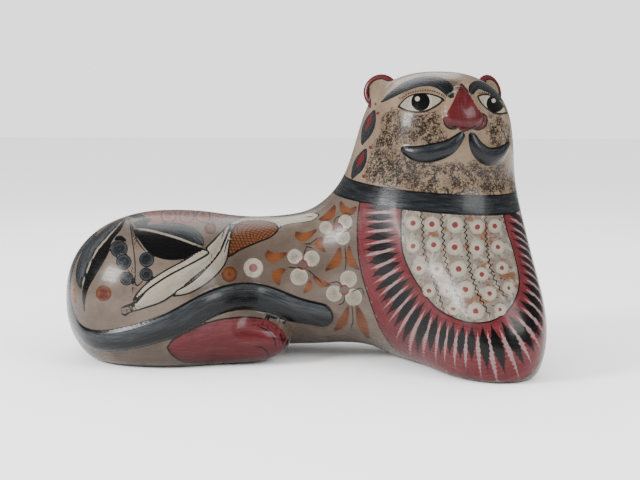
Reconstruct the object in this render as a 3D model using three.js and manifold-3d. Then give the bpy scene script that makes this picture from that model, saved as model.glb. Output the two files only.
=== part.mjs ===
// A reclining cat figurine of burnished terracotta, moulded in one piece: a long low body with the
// tail curled along its flank, and at one end an upright bust whose face is turned to the side.
// Millimetres, +Z up. +X runs along the body towards the bust, and -Y is the painted show side.
// The origin is the middle of the underside.

import * as THREE from 'three';
import { mergeVertices } from 'three/addons/utils/BufferGeometryUtils.js';
import Module from 'manifold-3d';

// Driving sizes. The pose and the rounded forms are shares of the figure's height.
const FIGURE_HEIGHT = 210;
const FACING = 20; // degrees that the face is turned from -Y towards +X
const EAR_RADIUS = 13;
const EAR_THICKNESS = 8;
const EAR_HOLLOW = 4;
const NOSE_WIDTH = 33;
const NOSE_LENGTH = 30;
const NOSE_RELIEF = 10;
const MOUSTACHE_WIDTH = 12;
const MOUSTACHE_RELIEF = 3.2;
const TAIL_TIP_WIDTH = 20;
const TAIL_ROOT_WIDTH = 14;
const TAIL_RELIEF = 3.5;

// Number of facets: rings of the skin along its bent axis, and spokes in each ring
const RUMP_RINGS = 11;
const BACK_RINGS = 20;
const BEND_RINGS = 30;
const NECK_RINGS = 2;
const CROWN_RINGS = 10;
const SPOKES = 48;
const SHOW_SIDE_BIAS = 0.25; // spokes crowd towards the show side by this share
const BEND_BIAS = 0.08; // rings crowd towards the toe of the chest by this share
const EAR_STEPS = 6;
const EAR_DISH_POWER = 4; // how much of the ear's front the hollow takes, more is a wider rim
const EAR_SECTORS = 18;
const TAIL_SIDES = 10;
const MOUSTACHE_SIDES = 10;
const NOSE_SIDES = 16;

const CLAY = new THREE.MeshStandardMaterial({ color: 0x9c8a7c, roughness: 0.42, metalness: 0 });

const percent = FIGURE_HEIGHT / 100;
const radians = THREE.MathUtils.degToRad;
const facing = new THREE.Vector3(Math.sin(radians(FACING)), -Math.cos(radians(FACING)), 0);
const across = new THREE.Vector3(-facing.y, facing.x, 0);
const FACING_HEADING = FACING - 90;

// A rounded form: a superellipsoid with its middle, half sizes, bluntness (2 is an ellipsoid, more
// is boxier), heading about Z and pitch. Places and half sizes are percentages of the height.
function form(middle, half, { blunt = 2.2, heading = 0, pitch = 0 } = {}) {
  const turn = radians(heading);
  const tilt = radians(pitch);
  return {
    middle: middle.map((share) => share * percent),
    half: half.map((share) => share * percent),
    blunt,
    turnCos: Math.cos(turn),
    turnSin: Math.sin(turn),
    tiltCos: Math.cos(tilt),
    tiltSin: Math.sin(tilt),
  };
}

// The same for a form of the bust, placed forward, across and up in the frame of the face
function bustForm([forward, sideways, up], half, { heading = 0, ...rest } = {}) {
  const x = forward * facing.x + sideways * across.x;
  const y = forward * facing.y + sideways * across.y;
  return form([x, y, up], half, { heading: FACING_HEADING + heading, ...rest });
}

const head = bustForm([1.5, 0, 77.8], [27.5, 23.9, 21.8], { blunt: 2.4 });
const neck = bustForm([-1.8, -1.2, 42.6], [32.4, 30, 45.3], { pitch: 16.3 });
const chest = bustForm([15.3, 5.2, 27.6], [48.2, 22, 25.4], { pitch: -36.4, heading: 7.3 });
const rump = form([-94, -8.8, 21], [35, 38.9, 29.6], { blunt: 2.3, pitch: -1.2 });
const back = form([-46.2, 2.6, 25.9], [65.6, 26, 23.1], { pitch: 2.7 });
const nape = form([-22.1, 1.9, 47.1], [27.7, 21.9, 14.5], { blunt: 2, pitch: 30.2 });
const hindFoot = form([-71.4, -23.8, 8.6], [23.8, 11.4, 10], { blunt: 2 });

// How far each pair of forms melts together, and how the underside is eased into the flat
const NECK_BLEND = 20 * percent;
const CHEST_BLEND = 20 * percent;
const BODY_BLEND = 15.2 * percent;
const BUST_TO_BODY_BLEND = 17.1 * percent;
const FOOT_BLEND = 8 * percent;
const UNDERSIDE_EASE = 3.8 * percent;
const EAR_ROOT_BLEND = 3.8 * percent;

// The ears stand on the head's upper corners, and each has a small swelling at its root
const EAR_SIDES = [-1, 1];
const EAR_FORWARD = -3.8;
const EAR_SPREAD = 19.9;
const EAR_SHIFT = 0.9; // both ears sit this much to the face's left of the middle
const EAR_UP = 92.8;
const EAR_SPLAY = 30; // degrees that each ear opens outwards from the face's own direction
const EAR_LIFT = 12; // degrees that each ear opens upwards
const EAR_ROOT_HALF = [5.5, 5, 6.5];
const EAR_ROOT_INWARDS = 1.6; // the swelling's middle lies this much nearer the face's middle
const EAR_ROOT_DOWN = 2.6; // and this much below the ear's
const earMiddle = (side) => [EAR_FORWARD, side * EAR_SPREAD + EAR_SHIFT, EAR_UP];
const earRoots = EAR_SIDES.map((side) => {
  const [forward, sideways, up] = earMiddle(side);
  const middle = [forward, sideways - EAR_ROOT_INWARDS * side, up - EAR_ROOT_DOWN];
  return bustForm(middle, EAR_ROOT_HALF, { blunt: 2 });
});

// Distance to a rounded form in shares of its size, with the slope taken out: below zero is inside
function distanceToForm(point, { middle, half, blunt, turnCos, turnSin, tiltCos, tiltSin }) {
  const dx = point.x - middle[0];
  const dy = point.y - middle[1];
  const dz = point.z - middle[2];
  const along = dx * turnCos + dy * turnSin;
  const local = [
    along * tiltCos + dz * tiltSin,
    -dx * turnSin + dy * turnCos,
    -along * tiltSin + dz * tiltCos,
  ];
  let sum = 1e-12;
  let slope = 0;
  for (let i = 0; i < 3; i += 1) {
    const ratio = Math.abs(local[i] / half[i]);
    sum += ratio ** blunt;
    slope += (ratio ** (blunt - 1) / half[i]) ** 2;
  }
  const size = sum ** (1 / blunt);
  return (size - 1) / (size ** (1 - blunt) * Math.sqrt(slope) + 1e-9);
}

// Smooth minimum: two distances meet over the width of the blend
function melt(a, b, blend) {
  const overlap = Math.max(blend - Math.abs(a - b), 0) / blend;
  return Math.min(a, b) - (overlap ** 3 * blend) / 6;
}

// Distance to the whole smooth figure, without its low relief and its ears
function distanceToFigure(point) {
  const to = (shape) => distanceToForm(point, shape);
  let bust = melt(to(head), to(neck), NECK_BLEND);
  bust = melt(bust, to(chest), CHEST_BLEND);
  for (const root of earRoots) {
    bust = melt(bust, to(root), EAR_ROOT_BLEND);
  }
  let body = melt(to(rump), to(back), BODY_BLEND);
  body = melt(body, to(nape), BODY_BLEND);
  const whole = melt(melt(body, bust, BUST_TO_BODY_BLEND), to(hindFoot), FOOT_BLEND);
  return -melt(-whole, point.z, UNDERSIDE_EASE);
}

// The skin's axis runs level through the body, bends upwards about a pivot above the back and ends
// in the head. The tail swings about the axis's rump end.
const AXIS_HEIGHT = 29.5 * percent;
const RUMP_END = -95 * percent;
const RUMP_OFFSET = -8.8 * percent;
const BEND_RADIUS = 43 * percent;
const CROWN_START = 78.5 * percent;
const CHEST_OFFSET = -9.5 * percent;

// First crossing of the skin along a ray that starts inside: march out, then halve the step
const MARCH = 2 * percent;
const HALVINGS = 24;
function castToSkin(origin, direction) {
  const point = new THREE.Vector3();
  const at = (reach) => point.copy(direction).multiplyScalar(reach).add(origin);
  let outer = MARCH;
  while (distanceToFigure(at(outer)) < 0) {
    outer += MARCH;
  }
  let inner = outer - MARCH;
  for (let i = 0; i < HALVINGS; i += 1) {
    const middle = (inner + outer) / 2;
    if (distanceToFigure(at(middle)) < 0) {
      inner = middle;
    } else {
      outer = middle;
    }
  }
  return at(outer).clone();
}

function outwardNormal(point) {
  const step = 0.02 * percent;
  const slope = (axis) => {
    const ahead = point.clone();
    const behind = point.clone();
    ahead[axis] += step;
    behind[axis] -= step;
    return distanceToFigure(ahead) - distanceToFigure(behind);
  };
  return new THREE.Vector3(slope('x'), slope('y'), slope('z')).normalize();
}

// A closed net: rings of points one after another from the index of the first, and two end points
function netGeometry(points, rings, spokes, startTip, endTip, first = 0) {
  const triangles = [];
  const lastRing = first + (rings - 1) * spokes;
  for (let j = 0; j < spokes; j += 1) {
    const next = (j + 1) % spokes;
    triangles.push(startTip, first + next, first + j);
    triangles.push(endTip, lastRing + j, lastRing + next);
    for (let ring = first; ring < lastRing; ring += spokes) {
      const far = ring + spokes;
      triangles.push(ring + j, ring + next, far + next);
      triangles.push(ring + j, far + next, far + j);
    }
  }
  const geometry = new THREE.BufferGeometry();
  const numbers = points.flatMap((point) => point.toArray());
  geometry.setAttribute('position', new THREE.Float32BufferAttribute(numbers, 3));
  geometry.setIndex(triangles);
  return geometry;
}

function easeInOut(t) {
  return t * t * (3 - 2 * t);
}

// Share of a band's run at one of its steps: the stations crowd at both ends, which are round
function stationShare(step, steps) {
  return (1 - Math.cos((Math.PI * step) / steps)) / 2;
}

// A station of a raised band: its place on the skin, its half width and its rise above the skin
function station(place, half, rise) {
  return { place, half, rise, normal: outwardNormal(place) };
}

// A raised band as a closed roll of oval rings, half sunk into the skin, with a point at each end.
// It ends round by itself: the rings within a half width of a blunt end shrink along a circle.
function bandGeometry(stations, sides) {
  const points = [];
  const run = [0];
  for (let i = 1; i < stations.length; i += 1) {
    run.push(run[i - 1] + stations[i].place.distanceTo(stations[i - 1].place));
  }
  const last = stations.length - 1;
  stations.forEach(({ place, half, rise, normal }, i) => {
    const ahead = stations[Math.min(i + 1, last)].place;
    const behind = stations[Math.max(i - 1, 0)].place;
    const forwards = new THREE.Vector3().subVectors(ahead, behind);
    const sideways = new THREE.Vector3().crossVectors(normal, forwards).normalize();
    const toEnd = Math.min(run[i], run[last] - run[i]);
    const round = toEnd < half ? Math.sqrt(1 - (1 - toEnd / half) ** 2) : 1;
    if (i === 0 || i === last) {
      points.push(place.clone());
      return;
    }
    for (let k = 0; k < sides; k += 1) {
      const angle = (2 * Math.PI * k) / sides;
      const point = place.clone().addScaledVector(sideways, half * round * Math.cos(angle));
      points.push(point.addScaledVector(normal, rise * round * Math.sin(angle)));
    }
  });
  return netGeometry(points, last - 1, sides, 0, points.length - 1, 1);
}

// A smooth line through points that each have two coordinates
function lineThrough(pairs) {
  const points = pairs.map(([first, second]) => new THREE.Vector3(first, second, 0));
  return new THREE.CatmullRomCurve3(points, false, 'catmullrom', 0.5);
}

// The tail lies along the show side, swings round the rump and climbs up its end to its root. The
// line has runs along the flank from the tip and heights, in percentages of the figure's height.
const TAIL_LINE = lineThrough([
  [0, 15.2], [12, 17.9], [33, 23.9], [53, 15.2], [73, 9.6], [85, 12], [92, 24], [95, 44],
]);
const TAIL_START = -33 * percent;
const RUMP_SWING = 33 * percent; // run along the skin for one radian round the rump
const TAIL_STEPS = 40;
const TAIL_SINKS = [0.6, 0.77]; // shares of its line between which the tail sinks into the rump
const ROOT_RELIEF = 0.08; // share of its relief that the tail keeps on the end of the rump

function tailPath() {
  const stations = [];
  const straight = TAIL_START - RUMP_END;
  const [sinkStart, sinkEnd] = TAIL_SINKS;
  for (let i = 0; i <= TAIL_STEPS; i += 1) {
    const t = stationShare(i, TAIL_STEPS);
    const { x: run, y: height } = TAIL_LINE.getPoint(t).multiplyScalar(percent);
    const swing = Math.max(run - straight, 0) / RUMP_SWING;
    const origin = new THREE.Vector3(TAIL_START - Math.min(run, straight), RUMP_OFFSET, height);
    const place = castToSkin(origin, new THREE.Vector3(-Math.sin(swing), -Math.cos(swing), 0));
    const above = easeInOut(THREE.MathUtils.clamp((sinkEnd - t) / (sinkEnd - sinkStart), 0, 1));
    const rise = TAIL_RELIEF * THREE.MathUtils.lerp(ROOT_RELIEF, 1, above);
    const half = THREE.MathUtils.lerp(TAIL_TIP_WIDTH, TAIL_ROOT_WIDTH, t) / 2;
    stations.push(station(place, half, rise));
  }
  return stations;
}

// Each half of the moustache hangs from below the nose and turns up at its tip. Its points are
// across and up, in percentages of the height, from the inner end to the tip.
const MOUSTACHE_HALVES = [
  [[0.6, 78.9], [-4, 74.7], [-9.6, 72.6], [-14.6, 72.3], [-18.6, 73.7]],
  [[3.3, 78.9], [5.6, 73.9], [9.6, 71.2], [14.6, 72], [19.5, 75.3]],
];
const MOUSTACHE_STEPS = 12;
const MOUSTACHE_SPAN = [0.05, 0.95]; // shares of a sine's swell at its inner end and its tip
const MOUSTACHE_FULLNESS = 0.75; // below 1 makes the swell fuller towards both ends

function pointOnFace(sideways, up) {
  const origin = across.clone().multiplyScalar(sideways).setZ(up);
  return castToSkin(origin, facing);
}

function moustachePath(half) {
  const line = lineThrough(half);
  const stations = [];
  const [innerEnd, tip] = MOUSTACHE_SPAN;
  for (let i = 0; i <= MOUSTACHE_STEPS; i += 1) {
    const t = stationShare(i, MOUSTACHE_STEPS);
    const { x, y } = line.getPoint(t).multiplyScalar(percent);
    const swell = Math.sin(Math.PI * THREE.MathUtils.lerp(innerEnd, tip, t)) ** MOUSTACHE_FULLNESS;
    stations.push(station(pointOnFace(x, y), (MOUSTACHE_WIDTH / 2) * swell, MOUSTACHE_RELIEF * swell));
  }
  return stations;
}

// The nose is a wedge: narrow and low at the bridge, wide and high at the tip, round below it. It
// swells to its full width at a share of its length, and its round end narrows it again.
const NOSE_AXIS = 0.8 * percent;
const NOSE_TOP = 94.4 * percent;
const BRIDGE_WIDTH = 0.2; // share of the nose's width at the bridge
const BRIDGE_RELIEF = 0.2; // share of the nose's relief at the bridge
const NOSTRIL_SHARE = 0.8; // share of the nose's length at which it is widest
const NOSTRIL_SWELL = 1.15; // width there before the round end takes its part away
const NOSE_SLOPE = 1.3; // above 1 keeps the bridge low for longer
const NOSE_STEPS = 12;

function nosePath() {
  const stations = [];
  for (let i = 0; i <= NOSE_STEPS; i += 1) {
    const t = stationShare(i, NOSE_STEPS);
    const place = pointOnFace(NOSE_AXIS, NOSE_TOP - NOSE_LENGTH * t);
    const swell = easeInOut(Math.min(t / NOSTRIL_SHARE, 1));
    const half = (NOSE_WIDTH / 2) * THREE.MathUtils.lerp(BRIDGE_WIDTH, NOSTRIL_SWELL, swell);
    const rise = NOSE_RELIEF * THREE.MathUtils.lerp(BRIDGE_RELIEF, 1, t ** NOSE_SLOPE);
    stations.push(station(place, half, rise));
  }
  return stations;
}

// Rays leave the axis in a fan round each end and in flat rings in between
function axisRings() {
  const rings = [];
  const down = new THREE.Vector3(0, 0, -1);
  const up = new THREE.Vector3(0, 0, 1);
  const aft = new THREE.Vector3(-1, 0, 0);
  const ahead = new THREE.Vector3(1, 0, 0);
  const quarter = Math.PI / 2;
  const rumpEnd = new THREE.Vector3(RUMP_END, RUMP_OFFSET, AXIS_HEIGHT);
  for (let i = 1; i <= RUMP_RINGS; i += 1) {
    rings.push({ origin: rumpEnd, belly: down, pole: aft, tilt: quarter * (1 - i / RUMP_RINGS) });
  }
  for (let i = 1; i <= BACK_RINGS; i += 1) {
    const t = i / BACK_RINGS;
    const x = THREE.MathUtils.lerp(RUMP_END, -BEND_RADIUS, t);
    const y = THREE.MathUtils.lerp(RUMP_OFFSET, 0, easeInOut(t));
    rings.push({ origin: new THREE.Vector3(x, y, AXIS_HEIGHT), belly: down, pole: aft, tilt: 0 });
  }
  for (let i = 1; i <= BEND_RINGS; i += 1) {
    const t = i / BEND_RINGS;
    const angle = quarter * (t + BEND_BIAS * Math.sin(2 * Math.PI * t));
    const belly = new THREE.Vector3(Math.sin(angle), 0, -Math.cos(angle));
    const y = CHEST_OFFSET * Math.sin(2 * angle) ** 2;
    const origin = new THREE.Vector3(-BEND_RADIUS, y, AXIS_HEIGHT + BEND_RADIUS);
    origin.addScaledVector(belly, BEND_RADIUS);
    rings.push({ origin, belly, pole: up, tilt: 0 });
  }
  const neckStart = AXIS_HEIGHT + BEND_RADIUS;
  for (let i = 1; i <= NECK_RINGS; i += 1) {
    const z = THREE.MathUtils.lerp(neckStart, CROWN_START, i / NECK_RINGS);
    rings.push({ origin: new THREE.Vector3(0, 0, z), belly: ahead, pole: up, tilt: 0 });
  }
  const crown = new THREE.Vector3(0, 0, CROWN_START);
  for (let i = 1; i < CROWN_RINGS; i += 1) {
    rings.push({ origin: crown, belly: ahead, pole: up, tilt: (quarter * i) / CROWN_RINGS });
  }
  return { rings, ends: [[rumpEnd, aft], [crown, up]] };
}

// The skin as a closed net: a point at each end of the axis and rings of spokes between them
const FLOOR_SNAP = 0.02;
function skinPoint(origin, direction) {
  const point = castToSkin(origin, direction);
  if (Math.abs(point.z) < FLOOR_SNAP) {
    point.z = 0;
  }
  return point;
}

function skinGeometry() {
  const { rings, ends } = axisRings();
  const points = [];
  for (const { origin, belly, pole, tilt } of rings) {
    for (let j = 0; j < SPOKES; j += 1) {
      const share = (2 * Math.PI * j) / SPOKES;
      const spoke = share - SHOW_SIDE_BIAS * Math.sin(share);
      const direction = new THREE.Vector3(0, -Math.cos(spoke), 0);
      direction.addScaledVector(belly, Math.sin(spoke));
      direction.multiplyScalar(Math.cos(tilt)).addScaledVector(pole, Math.sin(tilt));
      points.push(skinPoint(origin, direction));
    }
  }
  const rumpTip = points.push(skinPoint(...ends[0])) - 1;
  const crownTip = points.push(skinPoint(...ends[1])) - 1;
  return netGeometry(points, rings.length, SPOKES, rumpTip, crownTip);
}

// An ear is a round cup turned about its own axis: a domed back, a thick rim and a hollow front
function earGeometry(side) {
  const profile = [];
  const halfThickness = EAR_THICKNESS / 2;
  for (let i = 0; i <= 2 * EAR_STEPS; i += 1) {
    const angle = (Math.PI * i) / (2 * EAR_STEPS) - Math.PI / 2;
    const radius = Math.max(EAR_RADIUS * Math.cos(angle), 0);
    const dish = angle > 0 ? EAR_HOLLOW * Math.sin(angle) ** EAR_DISH_POWER : 0;
    profile.push(new THREE.Vector2(radius, halfThickness * Math.sin(angle) - dish));
  }
  profile[0].x = 0;
  profile[2 * EAR_STEPS].x = 0;
  const geometry = new THREE.LatheGeometry(profile, EAR_SECTORS);
  const opening = facing.clone().multiplyScalar(Math.cos(radians(EAR_SPLAY)));
  opening.addScaledVector(across, side * Math.sin(radians(EAR_SPLAY)));
  opening.multiplyScalar(Math.cos(radians(EAR_LIFT))).setZ(Math.sin(radians(EAR_LIFT)));
  const turn = new THREE.Quaternion().setFromUnitVectors(new THREE.Vector3(0, 1, 0), opening);
  geometry.applyQuaternion(turn);
  const [forward, sideways, up] = earMiddle(side).map((share) => share * percent);
  const place = facing.clone().multiplyScalar(forward).addScaledVector(across, sideways).setZ(up);
  return geometry.translate(place.x, place.y, place.z);
}

// Joins the skin, the ears and the raised bands into one closed body
const wasm = await Module();
wasm.setup();

function toSolid(geometry) {
  const bare = geometry.clone();
  bare.deleteAttribute('normal');
  bare.deleteAttribute('uv');
  const merged = mergeVertices(bare, 1e-4);
  return new wasm.Manifold(new wasm.Mesh({
    numProp: 3,
    vertProperties: new Float32Array(merged.attributes.position.array),
    triVerts: new Uint32Array(merged.index.array),
  }));
}

function catGeometry() {
  const additions = [
    ...EAR_SIDES.map(earGeometry),
    bandGeometry(tailPath(), TAIL_SIDES),
    bandGeometry(nosePath(), NOSE_SIDES),
    ...MOUSTACHE_HALVES.map((half) => bandGeometry(moustachePath(half), MOUSTACHE_SIDES)),
  ];
  let solid = toSolid(skinGeometry());
  for (const addition of additions) {
    solid = solid.add(toSolid(addition));
  }
  const mesh = solid.getMesh();
  const geometry = new THREE.BufferGeometry();
  geometry.setAttribute('position', new THREE.BufferAttribute(mesh.vertProperties, mesh.numProp));
  geometry.setIndex(new THREE.BufferAttribute(mesh.triVerts, 1));
  geometry.computeBoundingBox();
  const { min, max } = geometry.boundingBox;
  geometry.translate(-(min.x + max.x) / 2, -(min.y + max.y) / 2, -min.z);
  geometry.computeVertexNormals();
  return geometry;
}

const cat = new THREE.Mesh(catGeometry(), CLAY);
cat.name = 'cat';

const group = new THREE.Group();
group.add(cat);
export default group;
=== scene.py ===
"""The looks of a reclining terracotta cat: its burnished skin, moulded relief and brush painting.

The skin is one surface worked out from a few rounded forms that melt together. The painting is laid
on it from outlines in the picture's frame, and every point of the skin keeps its distance to the
painted shapes of each colour. The material turns the distances into crisp shapes with brush
streaks, ink lines and fine patterns.
"""
import math

import bpy
import numpy as np
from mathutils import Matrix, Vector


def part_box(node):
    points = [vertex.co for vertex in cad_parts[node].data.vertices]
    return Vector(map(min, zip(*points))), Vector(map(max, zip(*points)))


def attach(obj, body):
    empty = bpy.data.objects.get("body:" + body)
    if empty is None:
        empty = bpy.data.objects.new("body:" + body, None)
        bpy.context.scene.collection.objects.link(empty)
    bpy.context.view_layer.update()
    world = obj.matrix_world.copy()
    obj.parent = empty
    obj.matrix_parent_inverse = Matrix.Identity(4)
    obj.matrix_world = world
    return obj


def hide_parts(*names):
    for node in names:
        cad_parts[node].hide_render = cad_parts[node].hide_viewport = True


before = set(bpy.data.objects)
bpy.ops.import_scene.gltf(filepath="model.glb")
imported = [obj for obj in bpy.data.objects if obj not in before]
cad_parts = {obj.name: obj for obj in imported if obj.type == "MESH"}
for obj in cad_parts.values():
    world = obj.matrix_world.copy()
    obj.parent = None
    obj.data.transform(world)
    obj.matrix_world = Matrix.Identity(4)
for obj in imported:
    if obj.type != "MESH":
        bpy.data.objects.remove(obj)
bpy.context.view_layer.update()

bl_info = {
    "name": "Painted Terracotta Cat",
    "version": (1, 0, 0),
    "blender": (4, 5, 0),
    "location": "View3D > Sidebar > Painted cat",
    "description": "Builds and paints a burnished terracotta cat figurine on its packed model",
    "category": "Object",
}

EAR_SIDES = (-1, 1)
NODE = "cat"
BODY = "root"
MM = 0.001

# The view of the object: a pinhole looking at a target, in millimetres and degrees. The picture
# frame is 640 by 480 pixels, and the focal length is in those pixels.
PICTURE_WIDTH = 640
PICTURE_HEIGHT = 480
VIEW_AZIMUTH = 8.0
VIEW_ELEVATION = 5.89
VIEW_DISTANCE = 1000.0
VIEW_FOCAL = 1332.7
VIEW_TARGET = (9.1, 16.5, 84.3)
MM_PER_PIXEL = VIEW_DISTANCE / VIEW_FOCAL
SENSOR_WIDTH = 36.0


def number(label, description, default, **rest):
    return bpy.props.FloatProperty(name=label, description=description, default=default, **rest)


def length(label, description, millimetres):
    return bpy.props.FloatProperty(
        name=label, description=description, default=millimetres * MM, min=0.0, unit="LENGTH", precision=4)


def colour(label, description, default):
    return bpy.props.FloatVectorProperty(
        name=label, description=description, default=default, subtype="COLOR", min=0.0, max=1.0)


class CatSizes(bpy.types.PropertyGroup):
    """Sizes of the figure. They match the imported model."""

    figure_height: length("Figure height", "Height that the rounded forms are shares of", 210)
    facing: number("Facing", "Turn of the face", math.radians(20), subtype="ANGLE")
    ear_radius: length("Ear radius", "Radius of the round ear cups", 13)
    ear_thickness: length("Ear thickness", "Thickness of the ear cups", 8)
    ear_hollow: length("Ear hollow", "Depth of the hollow in an ear's front", 4)
    nose_width: length("Nose width", "Width across the nostrils", 33)
    nose_length: length("Nose length", "From the bridge to the tip", 30)
    nose_relief: length("Nose relief", "How far the tip stands out", 10)
    moustache_width: length("Moustache width", "Widest part of each half", 12)
    moustache_relief: length("Moustache relief", "How far the moustache stands out", 3.2)
    tail_tip_width: length("Tail tip width", "Width of the tail at its round tip", 20)
    tail_root_width: length("Tail root width", "Width of the tail at its root", 14)
    tail_relief: length("Tail relief", "How far the tail stands out", 3.5)
    ink_width: length("Ink width", "Width of the painted outlines", 1.0)


class CatColours(bpy.types.PropertyGroup):
    """Colours of the clay and of the painted slips."""

    clay: colour("Clay", "Burnished ground", (0.056, 0.040, 0.030))
    clay_pale: colour("Pale clay", "Rubbed patches of the ground", (0.088, 0.067, 0.053))
    face: colour("Face", "Ground of the head", (0.112, 0.075, 0.048))
    face_pale: colour("Pale face", "Rubbed patches of the head", (0.150, 0.112, 0.078))
    wash: colour("Wash", "Thin peach wash", (0.100, 0.024, 0.012))
    orange: colour("Orange", "Sienna strokes", (0.080, 0.023, 0.0045))
    rust: colour("Rust", "Dark ends of the sienna strokes", (0.024, 0.003, 0.0008))
    ochre: colour("Ochre", "Pale patches of the wing", (0.078, 0.025, 0.008))
    umber: colour("Umber", "Crossed lines on the wing", (0.007, 0.0022, 0.001))
    cream: colour("Cream", "Petals and dots", (0.190, 0.172, 0.135))
    cream_grey: colour("Grey cream", "Feathers and eyes", (0.100, 0.093, 0.078))
    rose: colour("Rose", "Bib border, nose and hind foot", (0.058, 0.0055, 0.0075))
    rose_dark: colour("Dark rose", "Shaded rose slip", (0.026, 0.0016, 0.002))
    # Pale rose is also the painted highlight on the hind foot
    rose_pale: colour("Pale rose", "Rubbed streaks of the rose slip", (0.120, 0.034, 0.038))
    spike_pale: colour("Pale spikes", "Thin strokes of the bib's border", (0.160, 0.110, 0.110))
    slate: colour("Slate", "Tail, collar, brows and leaves", (0.0040, 0.0048, 0.0062))
    # Pale slate is also the painted highlight along the tail and the moustache
    slate_pale: colour("Pale slate", "Streaks of the slate slip", (0.036, 0.040, 0.042))
    # Ink is also the painted shade on the dark side of the tail, the moustache and the collar
    ink: colour("Ink", "Outlines, pupils and spikes", (0.0012, 0.0010, 0.0010))
    red: colour("Red", "Dots and rings", (0.085, 0.003, 0.003))


class StageSettings(bpy.types.PropertyGroup):
    """The plain studio round the figure."""

    floor: colour("Floor", "Pale floor", (0.87, 0.87, 0.87))
    key: number("Key light", "Power of the main light", 46.0, unit="POWER")
    fill: number("Fill light", "Power of the side light", 16.0, unit="POWER")
    sky: number("Sky", "Strength of the even light", 2.1, min=0.0)
    backdrop: number("Backdrop", "Brightness behind the floor", 1.9, min=0.0)


# Rounded forms, with places and sizes as percentages of the figure's height

BODY_LEVEL = 29.5
EAR_BACK = -3.8
EAR_SPREAD = 19.9
EAR_SHIFT = 0.9
EAR_UP = 92.8
EAR_ROOT_INWARDS = 1.6
EAR_ROOT_DOWN = 2.6
EAR_ROOT_HALF = (5.5, 5, 6.5)
BUST_BLEND = 20.0
BODY_BLEND = 15.2
WHOLE_BLEND = 17.1
FOOT_BLEND = 8.0
EDGE_BLEND = 3.8


def ear_place(side, inwards=0.0, down=0.0):
    return EAR_BACK, side * (EAR_SPREAD - inwards) + EAR_SHIFT, EAR_UP - down


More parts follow.
